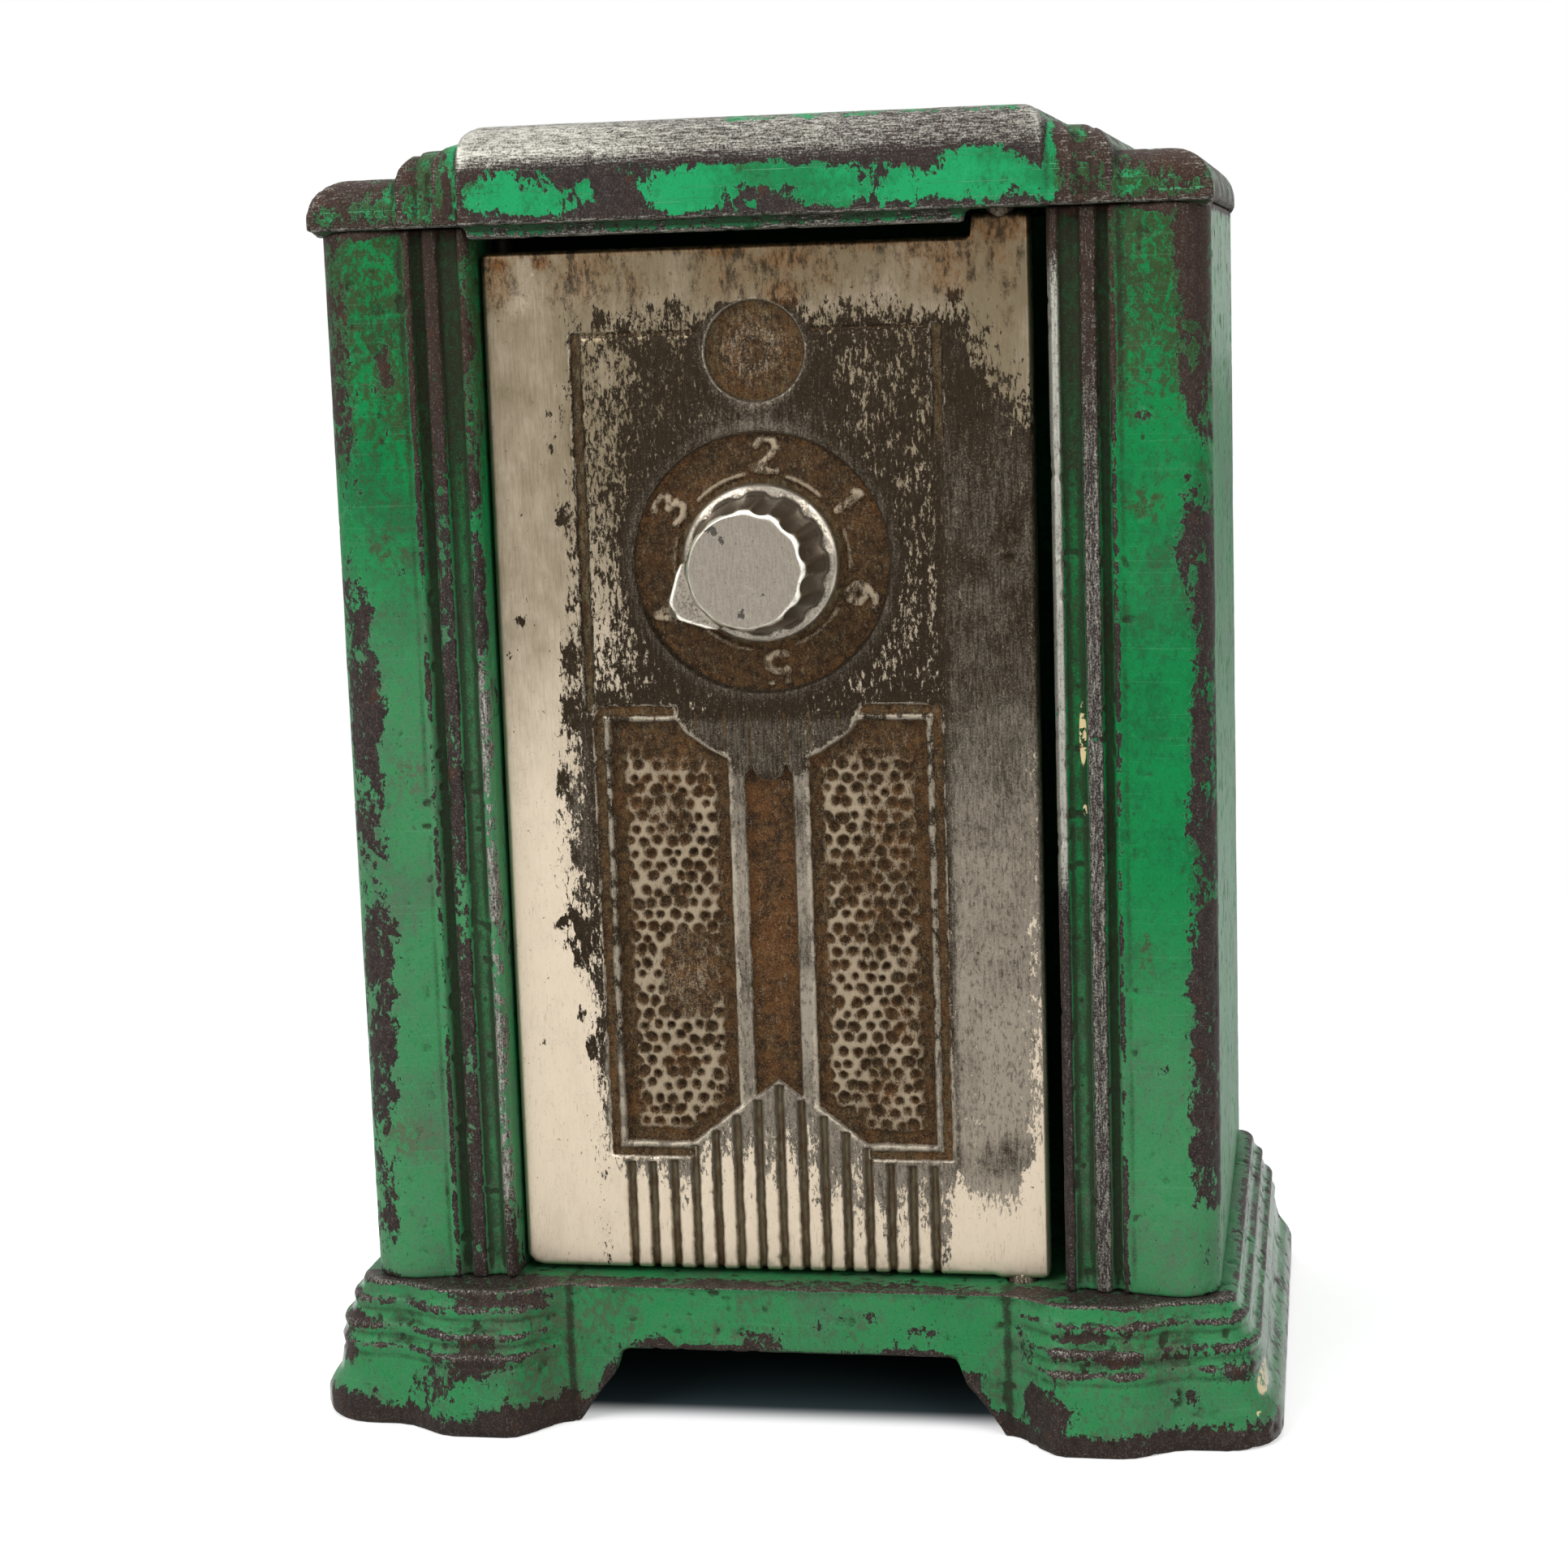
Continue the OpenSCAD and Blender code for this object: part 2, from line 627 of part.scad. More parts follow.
// Outline of the door plate with its two hinge ears, in the case's own x and z
plate_low_r = 1.5;
plate_top_r = 0.6;
ear_r = 0.6;
function door_outline() =
    let (x0 = door_x - door_w/2, x1 = door_x + door_w/2, ex = hinge_x - ear_w/2,
         e0 = base_h + ear_gap, e1 = side_top - ear_gap)
    concat(arc([x0 + plate_low_r, door_bot + plate_low_r], plate_low_r, 180, 270, 5),
        [[ex, door_bot], [ex + ear_r, e0]],
        arc([x1 - ear_r, e0 + ear_r], ear_r, 270, 360, 3),
        arc([x1 - ear_r, e1 - ear_r], ear_r, 0, 90, 3),
        [[ex, e1], [ex, door_top + ear_r], [ex - ear_r*0.3, door_top + ear_r*0.3],
         [ex - ear_r, door_top]],
        arc([x0 + plate_top_r, door_top - plate_top_r], plate_top_r, 90, 180, 3));

boss_share = 0.28;
ring_w = 0.45;
module door() {
    color(nickel) difference() {
        union() {
            along_y(face_y, door_back) polygon(door_outline());
            translate([hinge_x, hinge_y, base_h + ear_gap - pintle_l])
                cylinder(r = pintle_r, h = pintle_l + 1, $fn = 48);
            translate([hinge_x, hinge_y, side_top - ear_gap - 1])
                cylinder(r = pintle_r, h = pintle_l + 1, $fn = 48);
        }
        door_cut(field_d) deep_fields();
        door_cut(field_d*0.8) rib_grooves();
        door_cut(line_d) engraved_lines();
        door_cut(line_d*0.6) crest_lines();
        door_cut(line_d/2) low_strips();
        translate([door_x, 0, dial_z]) rod_y(dial_r, face_y - 1, dial_floor);
        translate([door_x, 0, door_top - medal_drop]) difference() {
            rod_y(medal_r, face_y - 1, face_y + field_d*0.8);
            rod_y(medal_r*boss_share, face_y + field_d*0.4, face_y + door_t);
        }
        translate([door_x, 0, dial_z]) rod_y(sleeve_r, face_y - 1, door_back + 1);
    }
    // thin raised ring that parts the knob from the ring of numbers
    color(nickel) translate([door_x, 0, dial_z]) difference() {
        rod_y(ring_r + ring_w, dial_floor - line_d*0.8, dial_floor + 0.5);
        rod_y(ring_r, dial_floor - 2, dial_floor + 2);
    }
}

// Sleeve riveted into the door: the spindle turns in it, the wheels round it
module hub_sleeve() {
    color(steel) translate([door_x, 0, dial_z]) difference() {
        union() {
            rod_y(sleeve_r, dial_floor, sleeve_end);
            rod_y(shoulder_r, door_back, shoulder_y);
        }
        rod_y(spindle_r + run_clr, dial_floor - 1, sleeve_end + 1);
    }
}

module spring_washer() {
    color(steel) translate([door_x, dial_floor, dial_z]) rotate([90, 0, 0])
        rotate_extrude($fn = 64)
            polygon([[spindle_r + 0.5, 0], [spring_r*0.75, 0],
                [spring_r, 0.12], [spring_r, spring_t],
                [spring_r*0.75, spring_t - 0.08], [spindle_r + 0.5, spring_t - 0.08]]);
}

module spacer(y) {
    color(steel) translate([door_x, 0, dial_z]) difference() {
        rod_y(spacer_r, y, y + spacer_t);
        rod_y(sleeve_r, y - 1, y + spacer_t + 1);
    }
}
module front_spacer() { spacer(spacer1_y); }
module rear_spacer() { spacer(spacer2_y); }

// Knob: skirt, fluted grip that narrows to the front, and a wedge pointer
knob_front = face_y - knob_h;
spindle_in = 1.6;
flute_cut = 1;
flute_bite = 0.38;
pointer_root = 4.6;
pointer_tip = 0.25;
module dial_knob() {
    taper = atan((grip_r - knob_top_r)/(knob_h - skirt_h));
    color(nickel) translate([door_x, 0, dial_z]) difference() {
        union() {
            difference() {
                translate([0, knob_y, 0]) rotate([90, 0, 0])
                    rotate_extrude($fn = 96)
                        polygon([[0, 0], [skirt_r, 0], [skirt_r, skirt_h - 0.3],
                            [skirt_r - 0.3, skirt_h], [grip_r, skirt_h + 0.15],
                            [knob_top_r + 0.05, knob_y - knob_front - 0.35],
                            [knob_top_r - 0.35, knob_y - knob_front],
                            [0, knob_y - knob_front]]);
                for (i = [0:flute_n - 1])
                    rotate([0, i*360/flute_n + 15, 0])
                        translate([grip_r + flute_cut - flute_bite,
                            knob_y - skirt_h - 0.2, 0])
                            rotate([90, 0, 0]) rotate([0, -taper, 0])
                                cylinder(r = flute_cut, h = knob_h*2, $fn = 32);
            }
            rotate([0, -pointer_a, 0]) translate([0, knob_y - skirt_h*0.6, 0])
                rotate([90, 0, 0]) linear_extrude(knob_h - skirt_h*1.2)
                    polygon([[0, -pointer_root], [grip_r*0.72, -pointer_root + 1],
                        [pointer_r, -pointer_tip], [pointer_r, pointer_tip],
                        [grip_r*0.72, pointer_root - 1], [0, pointer_root]]);
        }
        rod_y(spindle_r, knob_front + spindle_in, knob_y + 1);
        rod_y(spring_r + 0.3, knob_y - 0.75, knob_y + 1);
        // the pointer's crest falls away to the tip
        rotate([0, -pointer_a, 0])
            translate([knob_top_r, knob_front - 1, -8])
                rotate([0, 0, 45]) translate([0, -6, 0]) cube([8, 6, 16]);
    }
}

module flatted_rod(y0, y1) {
    difference() {
        rod_y(spindle_r, y0, y1);
        translate([spindle_r*0.7, y0 - 1, -spindle_r*2])
            cube([spindle_r, y1 - y0 + 2, spindle_r*4]);
    }
}

module dial_spindle() {
    color(steel) translate([door_x, 0, dial_z]) {
        rod_y(spindle_r, knob_front + spindle_in, drive_y0);
        flatted_rod(drive_y0 - eps, nut_y);
        rod_y(tail_r, nut_y - eps, nut_y + nut_t + 0.5);
    }
}

// Gate cut into a wheel on its left, where the lug stands
module gate(y0, y1) {
    translate([-wheel_r - 1, y0 - 1, -gate_w/2])
        cube([gate_d + 1, y1 - y0 + 2, gate_w]);
}

peg_a0 = 50;
peg_turn = 150;
module peg_at_angle(a, y0, y1) {
    rotate([0, -a, 0]) translate([peg_at, 0, 0]) rod_y(peg_r, y0, y1);
}

module drive_wheel() {
    color(steel) translate([door_x, 0, dial_z]) difference() {
        rod_y(wheel_r, drive_y0, nut_y);
        gate(drive_y0, nut_y);
        flatted_rod(drive_y0 - 1, nut_y + 1);
        peg_at_angle(peg_a0, drive_y0 - 1, nut_y + 1);
    }
}

module drive_peg() {
    color(iron) translate([door_x, 0, dial_z])
        peg_at_angle(peg_a0, drive_y0 - peg_l, nut_y);
}

module spindle_nut() {
    color(steel) translate([door_x, 0, dial_z]) difference() {
        translate([-nut_w/2, nut_y, -nut_w/2]) cube([nut_w, nut_t, nut_w]);
        rod_y(tail_r, nut_y - 1, nut_y + nut_t + 1);
    }
}

module tumbler(y) {
    difference() {
        rod_y(wheel_r, y, y + wheel_t);
        rod_y(sleeve_r + run_clr, y - 1, y + wheel_t + 1);
        gate(y, y + wheel_t);
        children();
    }
}

module rear_tumbler() {
    color(steel) translate([door_x, 0, dial_z]) tumbler(rear_y0) {
        peg_at_angle(peg_a0 + peg_step, rear_y0 - 1, rear_y0 + wheel_t + 1);
        peg_at_angle(peg_a0 + peg_turn, rear_y0 - 1, rear_y0 + wheel_t + 1);
    }
}

module rear_pegs() {
    color(iron) translate([door_x, 0, dial_z]) {
        peg_at_angle(peg_a0 + peg_step, rear_y0, rear_y0 + wheel_t + peg_l);
        peg_at_angle(peg_a0 + peg_turn, rear_y0 - peg_l, rear_y0 + wheel_t);
    }
}

module front_tumbler() {
    color(steel) translate([door_x, 0, dial_z]) tumbler(front_y0) {
        peg_at_angle(peg_a0 + peg_turn + peg_step, front_y0 - 1, front_y0 + wheel_t + 1);
    }
}

module front_peg() {
    color(iron) translate([door_x, 0, dial_z])
        peg_at_angle(peg_a0 + peg_turn + peg_step, front_y0, front_y0 + wheel_t + peg_l);
}

base();
cap();
left_side();
right_side();
back_plate();
tie_screws();
door();
hub_sleeve();
spring_washer();
front_spacer();
rear_spacer();
dial_knob();
dial_spindle();
drive_wheel();
drive_peg();
spindle_nut();
front_tumbler();
front_peg();
rear_tumbler();
rear_pegs();
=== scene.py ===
import functools
import math
import bpy
import numpy as np
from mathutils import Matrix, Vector


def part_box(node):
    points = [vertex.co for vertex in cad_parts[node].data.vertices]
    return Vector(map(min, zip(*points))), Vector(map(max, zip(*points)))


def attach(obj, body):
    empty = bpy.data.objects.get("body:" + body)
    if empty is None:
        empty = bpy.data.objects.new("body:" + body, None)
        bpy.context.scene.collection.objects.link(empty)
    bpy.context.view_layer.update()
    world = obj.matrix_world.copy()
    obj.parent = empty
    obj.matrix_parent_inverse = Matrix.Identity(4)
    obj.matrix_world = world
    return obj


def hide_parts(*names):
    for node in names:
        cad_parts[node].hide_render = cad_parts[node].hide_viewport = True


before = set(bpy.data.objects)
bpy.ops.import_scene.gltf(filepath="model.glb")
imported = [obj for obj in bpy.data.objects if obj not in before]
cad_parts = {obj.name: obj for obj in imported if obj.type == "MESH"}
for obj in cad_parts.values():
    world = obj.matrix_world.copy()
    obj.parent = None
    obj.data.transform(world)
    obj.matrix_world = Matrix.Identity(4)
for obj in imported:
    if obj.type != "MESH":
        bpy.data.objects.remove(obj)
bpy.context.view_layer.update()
print("frame loaded with", len(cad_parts), "nodes")

mm = 0.001
coarserVoxels, coarserGrid = ((1, 1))


# camera at the height and side from which the bank was photographed
cameraView = {
    "place": (47.97, -281.6, 100.73),  # mm
    "turn": (80.6992, 1.8867, 9.9904),  # degrees about x, y, z
    "lens": 70.75,
    "sensor": 36.0,
    "clip": (0.01, 20),  # metres
}


def linked(name, data):
    made = bpy.data.objects.new(name, data)
    bpy.context.collection.objects.link(made)
    return made


def makeCamera(view):
    data = bpy.data.cameras.new("photoCamera")
    data.lens = view["lens"]
    data.sensor_width = view["sensor"]
    data.clip_start, data.clip_end = view["clip"]
    eye = linked("photoCamera", data)
    eye.location = [value*mm for value in view["place"]]
    eye.rotation_euler = [math.radians(value) for value in view["turn"]]
    bpy.context.scene.camera = eye


print("setting the camera")
makeCamera(cameraView)


# numbers in numpy: soft steps, value noise and distances to drawn shapes
randomTable = np.random.default_rng(11).random(4096)
hashPrimes = (73856093, 19349663, 83492791)
farOff = 1e9


def randomAt(key):
    return randomTable[key & (len(randomTable) - 1)]


def soft(value):
    # 0 up to 0, 1 from 1 on, soft between
    value = np.clip(value, 0, 1)
    return value*value*(3 - 2*value)


def above(value, start, width):
    return soft((value - start)/width)


def below(value, start, width):
    return 1 - soft((value - start)/width)


def near(value, at, width, half=0.0):
    # 1 within half of a place, and fading out over width
    return 1 - soft((np.abs(value - at) - half)/width)


def strongest(*values):
    return functools.reduce(np.maximum, values)


def valueNoise(points, size, seed=0):
    p = points/size + seed*17.31
    cell = np.floor(p).astype(np.int64)
    high = p - cell
    high = high*high*(3 - 2*high)
    shares = (1 - high, high)
    total = np.zeros(len(points))
    for corner in np.ndindex(2, 2, 2):
        weight, key = 1.0, 0
        for axis, step in enumerate(corner):
            weight = weight*shares[step][:, axis]
            key = key ^ (cell[:, axis] + step)*hashPrimes[axis]
        total += weight*randomAt(key)
    return total


def fractal(points, size, octaves=4, seed=0):
    total, share, norm = np.zeros(len(points)), 1.0, 0.0
    for k in range(octaves):
        total += share*valueNoise(points, size/2**k, seed + k)
        norm += share
        share *= 0.5
    return total/norm


def faceNoise(x, z, size, octaves, seed, squash=1.0):
    # the same over the door's face, drawn out upwards where squash is under 1
    flat = np.c_[x.ravel(), np.zeros(x.size), z.ravel()*squash]
    return fractal(flat, size, octaves, seed).reshape(x.shape)


def boxDistance(x, z, x0, x1, z0, z1):
    dx = np.abs(x - (x0 + x1)/2) - (x1 - x0)/2
    dz = np.abs(z - (z0 + z1)/2) - (z1 - z0)/2
    return np.hypot(np.maximum(dx, 0), np.maximum(dz, 0)) + np.minimum(np.maximum(dx, dz), 0)


def lineDistance(x, z, a, b):
    ax, az, bx, bz = a[0], a[1], b[0] - a[0], b[1] - a[1]
    t = np.clip(((x - ax)*bx + (z - az)*bz)/(bx*bx + bz*bz), 0, 1)
    return np.hypot(x - ax - t*bx, z - az - t*bz)


def strokeDistance(x, z, corners):
    lines = zip(corners, corners[1:])
    return functools.reduce(np.minimum, (lineDistance(x, z, a, b) for a, b in lines), farOff)


def outlineDistance(x, z, corners):
    # signed: negative inside a closed outline
    closed = corners + corners[:1]
    inside = np.zeros(x.shape, bool)
    for (ax, az), (bx, bz) in zip(closed, closed[1:]):
        if az != bz:
            crosses = (az > z) != (bz > z)
            inside ^= crosses & (x < (bx - ax)*(z - az)/(bz - az) + ax)
    distance = strokeDistance(x, z, closed)
    return np.where(inside, -distance, distance)


def sunk(distance, depth, wall):
    # depth inside a shape, with a soft wall across its edge
    return depth*(1 - soft(distance/wall + 0.5))


def blotches(x, z, spots):
    # soft ellipses: x, z, half width, half height, strength
    total = np.zeros(x.shape)
    for sx, sz, rx, rz, strength in spots:
        total = np.maximum(total, strength*below(np.hypot((x - sx)/rx, (z - sz)/rz), 0, 1.3))
    return total


# meshes
def newMeshObject(name, points, faces):
    mesh = bpy.data.meshes.new(name)
    mesh.from_pydata(points, [], faces)
    mesh.update()
    return linked(name, mesh)


def vertexRows(mesh, field):
    # every vertex's place ("co") or "normal", one row each
    rows = np.empty(len(mesh.vertices)*3, np.float32)
    mesh.vertices.foreach_get(field, rows)
    return rows.reshape(-1, 3).astype(float)


def setPoints(mesh, points):
    mesh.vertices.foreach_set("co", points.astype(np.float32).ravel())
    mesh.update()


def setMasks(mesh, **masks):
    for name, values in masks.items():
        layer = mesh.attributes.get(name) or mesh.attributes.new(name, "FLOAT", "POINT")
        layer.data.foreach_set("value", np.clip(values, 0, 1).astype(np.float32))


def smoothShade(mesh):
    mesh.polygons.foreach_set("use_smooth", np.ones(len(mesh.polygons), bool))


def applyModifiers(piece):
    graph = bpy.context.evaluated_depsgraph_get()
    fresh = bpy.data.meshes.new_from_object(piece.evaluated_get(graph))
    piece.modifiers.clear()
    piece.data = fresh
    return piece


def averaged(values, ends, count):
    # mean of each point's neighbours, column by column
    first, second = ends.T
    out = np.empty_like(values)
    for k, column in enumerate(values.T):
        pairs = (np.bincount(a, column[b], len(values)) for a, b in ((first, second), (second, first)))
        out[:, k] = sum(pairs)/count
    return out


# lumps, fine lumps and pits of the castings: size in mm, octaves and seed
castNoises = [(5, 3, 1), (1.3, 2, 5), (1.1, 2, 9)]


def castPiece(node, name, look):
    # a finely remeshed copy of a cast CAD piece, with soft edges and the lumps and pits of sand casting
    piece = linked(name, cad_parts[node].data.copy())
    piece.data.materials.clear()
    grid = piece.modifiers.new("grid", "REMESH")
    grid.mode = "VOXEL"
    grid.voxel_size = look["voxel"]*mm*coarserVoxels
    mesh = applyModifiers(piece).data
    ends = np.empty(len(mesh.edges)*2, np.int32)
    mesh.edges.foreach_get("vertices", ends)
    ends = ends.reshape(-1, 2)
    count = np.maximum(np.bincount(ends.ravel(), minlength=len(mesh.vertices)), 1).astype(float)
    points = vertexRows(mesh, "co")
    for _ in range(look["soften"]):
        points += 0.6*(averaged(points, ends, count) - points)
    setPoints(mesh, points)
    coarse, fine, dents = (fractal(points/mm, *kind) for kind in castNoises)
    height = look["lumps"]*(coarse - 0.5 + 0.5*(fine - 0.5)) - look["pits"]*above(dents, 0.66, 0.1)
    points = np.clip(points + vertexRows(mesh, "normal")*(height*mm)[:, None], *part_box(node))
    setPoints(mesh, points)
    smoothShade(mesh)
    # how far each point stands out of its own blurred surroundings
    normals = vertexRows(mesh, "normal")
    blurred = points
    stands = []
    for rounds in (6, 18):
        for _ in range(rounds):
            blurred = averaged(blurred, ends, count)
        stands.append(((points - blurred)*normals).sum(1)/mm)
    closeBy, wide = stands
    setMasks(mesh, edge=soft(closeBy/0.1)*0.6 + soft(wide/0.22)*0.6,
             hollow=soft(-closeBy/0.1)*0.6 + soft(-wide/0.22)*0.6)
    return piece, points/mm, normals


def thinOut(piece, faces):
    # fewer faces where the surface is plain
    have = sum(len(p.vertices) - 2 for p in piece.data.polygons)
    if have > faces:
        thin = piece.modifiers.new("thin", "DECIMATE")
        thin.ratio = faces/have
        applyModifiers(piece)
    smoothShade(piece.data)


def joinInto(piece, parts):
    together = [piece] + parts
    with bpy.context.temp_override(active_object=piece, object=piece, selected_objects=together,
                                   selected_editable_objects=together):
        bpy.ops.object.join()


def finishPiece(piece, look, body, material, node, parts=[]):
    thinOut(piece, look["faces"])
    if parts:
        joinInto(piece, parts)
    setPoints(piece.data, np.clip(vertexRows(piece.data, "co"), *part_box(node)))
    piece.data.materials.clear()
    piece.data.materials.append(material)
    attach(piece, body)
    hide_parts(node)
    print("made", piece.name, len(piece.data.polygons), "faces")


# shader maths: a wrapped socket whose operators add Math nodes
class Wire:
    def __init__(self, finish, socket):
        self.finish, self.socket = finish, socket

    def __add__(self, other):
        return self.finish.calc("ADD", self, other)

    def __sub__(self, other):
        return self.finish.calc("SUBTRACT", self, other)

    def __rsub__(self, other):
        return self.finish.calc("SUBTRACT", other, self)

    def __mul__(self, other):
        return self.finish.calc("MULTIPLY", self, other)

    __radd__ = __add__
    __rmul__ = __mul__

    def most(self, other):
        return self.finish.calc("MAXIMUM", self, other)

    def clamped(self):
        return self.finish.add("Clamp", {0: self})

    def step(self, low, high):
        # 0 at low, 1 at high, soft between
        return self.finish.add("MapRange", {"Value": self, "From Min": low, "From Max": high},
                               interpolation_type="SMOOTHSTEP")


# the nodes of a material or of the world
class Finish:
    def __init__(self, owner, look):
        owner.use_nodes = True
        self.owner, self.look, self.tree = owner, look, owner.node_tree
        self.tree.nodes.clear()
        # the object's own coordinates, in mm
        place = self.add("TexCoord", output="Object")
        self.place = self.add("VectorMath", {0: place, "Scale": 1/mm}, operation="SCALE")

    def add(self, kind, inputs={}, output=0, **settings):
        node = self.tree.nodes.new("ShaderNode" + kind)
        for key, value in settings.items():
            setattr(node, key, value)
        for key, value in inputs.items():
            if isinstance(value, Wire):
                self.tree.links.new(value.socket, node.inputs[key])
            else:
                node.inputs[key].default_value = value
        return Wire(self, node.outputs[output]) if len(node.outputs) else None

    def calc(self, operation, *values):
        return self.add("Math", dict(enumerate(values)), operation=operation)

    def noise(self, scale, detail, roughness, stretch=None, distortion=0.0):
        # about -0.5 to 0.5, stretched along x, y and z
        at = self.place
        if stretch:
            at = self.add("VectorMath", {0: at, 1: stretch}, operation="MULTIPLY")
        return self.add("TexNoise", {"Vector": at, "Scale": scale, "Detail": detail, "Roughness": roughness,
                                     "Distortion": distortion}) - 0.5

    def masks(self, *names):
        return [self.add("Attribute", output="Fac", attribute_name=name) for name in names]

    def mix(self, factor, a, b):
        # of colours, each made by nodes or named in the look
        a, b = (value if isinstance(value, Wire) else (*self.look[value], 1) for value in (a, b))
        return self.add("Mix", {0: factor, 6: a, 7: b}, 2, data_type="RGBA")

    def coats(self, colour, *layers):
        # laid over a colour in turn, each as its amount and its own colour
        for amount, over in layers:
            colour = self.mix(amount, colour, over)
        return colour

    def blend(self, factor, a, b):
        # mix for plain values
        return self.add("Mix", {0: factor, 2: a, 3: b}, data_type="FLOAT")

    def shine(self, height, depth, strength, **sockets):
        # the shader, with a relief of a depth in mm
        names = {key.replace("_", " "): value for key, value in sockets.items()}
        names["Normal"] = self.add("Bump", {"Height": height, "Distance": depth*mm, "Strength": strength})
        return self.output(self.add("BsdfPrincipled", names))

    def output(self, shader):
        self.add("Output" + type(self.owner).__name__, {"Surface": shader})
        return self.owner


def newFinish(name, look):
    return Finish(bpy.data.materials.new(name), look)


# green enamel over cast iron, chipped and rubbed
enamel = {
    "green": (0.0045, 0.182, 0.048),
    "deepGreen": (0.006, 0.108, 0.034),
    "oldGreen": (0.032, 0.066, 0.022),
    "paleGreen": (0.075, 0.31, 0.15),
    "iron": (0.024, 0.0185, 0.0175),
    "ironPale": (0.078, 0.064, 0.058),
    "bright": (0.375, 0.37, 0.32),
    "rust": (0.11, 0.04, 0.016),
    "primer": (0.62, 0.5, 0.28),
    # haze: pale grey-green laid over the paint as a painted sheen
    "haze": (0.3, 0.34, 0.27),
    # dark colour for dirt, and for painted shade under and between parts
    "grime": (0.018, 0.015, 0.01),
    "scratches": 0.15,
    "brushed": (2.2, 2.2, 0.35),  # stretch of the rubbing marks
    "gloss": 0.07,
}
# on the cap it is lighter, scratched along its length and rubbed along it
capEnamel = dict(enamel, green=(0.014, 0.285, 0.1), deepGreen=(0.012, 0.18, 0.06), scratches=1.0,
                 brushed=(0.3, 0.3, 2.6))


def makeEnamel(name, look):
    f = newFinish(name, look)
    wear, rub, grime, stain, primer = f.masks("wear", "rub", "grime", "stain", "primer")
    edge, hollow, polish, haze = f.masks("edge", "hollow", "polish", "haze")
    upright = (1.0, 1.0, 0.7)
    broad = f.noise(0.38, 8, 0.7, upright, 0.6)
    fine = f.noise(1.6, 6, 0.74, upright, 0.4)
    grain = f.noise(6.0, 4, 0.7)
    # chips break through where the noise falls under the wear
    field = broad*0.5 + fine*0.5 - (wear*0.4 + edge*0.1 - 0.2)
    rim = field.step(0.0, 0.01)*(1 - field.step(0.01, 0.035))
    specks = 1 - f.noise(2.6, 4, 0.8, (1.3, 1.3, 0.9)).step(-0.165, -0.145)
    share = f.calc("MINIMUM", wear*1.6 + 0.55 + stain*0.5, 1)
    chipped = (1 - field.step(-0.003, 0.008)).most(specks*share)
    scratch = f.noise(1.0, 3, 0.6, (0.07, 0.07, 5.0)).step(0.115, 0.15)*look["scratches"]
    # paint
    hue = f.noise(0.13, 6, 0.62)
    soiled = stain*fine.step(-0.14, 0.1)*1.7
    # dirt and painted shade: the hollows and the grime mask, which also carries painted shade, darken the paint
    dirt = (hollow*0.85 + grime + broad + grain*0.9).step(0.22, 1.0)
    paint = f.coats("green",
        ((hue + fine*0.7).step(-0.1, 0.18), "deepGreen"),
        ((fine*1.3 + hue*1.2 + soiled - 0.04).step(0.15, 0.8), "oldGreen"),
        ((rim*0.45).most(scratch*0.85), "paleGreen"),
        # painted sheen: a pale haze over the green where the haze mask says
        ((haze*(fine*0.3 + hue*0.2 + 0.16)).clamped(), "haze"),
        ((dirt*0.86).most(grain.step(0.0, 0.2)*0.3), "grime"),
        (grain.step(-0.04, -0.2)*0.16, "paleGreen"))
    # iron under it, brown or rubbed bright
    rusty = (f.noise(0.5, 5, 0.6).step(0.06, 0.24)*0.3 + stain*0.3).clamped()*(1 - rub)
    brushed = f.noise(3.0, 4, 0.75, look["brushed"])
    rubbed = (rub*1.3 + edge*0.25 - 0.46 + grain*1.7 + brushed*1.9).step(0.0, 0.85)
    metal = f.coats("iron",
        ((grain + fine*0.5).step(-0.08, 0.24), "ironPale"),
        (rusty, "rust"),
        ((hollow*0.7 + grime*0.5).clamped(), "grime"),
        (rubbed, "bright"))
    colour = f.coats(paint,
        (chipped, metal),
        (primer.step(0.4, 0.52)*(1 - f.noise(1.4, 5, 0.6).step(0.03, 0.06)), "primer"))
    rough = f.blend(chipped, dirt*0.3 + fine*0.25 + 0.3, 0.52 - rubbed*0.12)
    height = (1 - chipped)*0.6 - scratch*0.25 + (grain + 0.5)*0.15*chipped + fine*0.1
    return f.shine(height, 0.14, 0.9, Base_Color=colour, Roughness=rough,
                   Metallic=chipped*f.blend(rubbed, 0.3, 0.9), Specular_IOR_Level=look["gloss"],
                   Coat_Weight=polish, Coat_Roughness=0.12)


# nickel on the door, from full plating to bare brown iron and rust
nickel = {
    "plate": (0.7, 0.59, 0.455),
    "tarnish": (0.19, 0.15, 0.092),
    "grey": (0.285, 0.248, 0.196),
    "bare": (0.024, 0.016, 0.0085),
    "dirt": (0.012, 0.008, 0.005),
    "rust": (0.08, 0.043, 0.016),
    "rustDark": (0.02, 0.011, 0.005),
    "rustBright": (0.14, 0.055, 0.015),
    "spot": (0.17, 0.07, 0.018),
    "net": (0.39, 0.315, 0.22),
    "olive": (0.135, 0.11, 0.06),
    "pit": (0.026, 0.021, 0.017),
    # line: pale colour of the painted highlights along the relief's edges
    "line": (0.46, 0.4, 0.31),
}


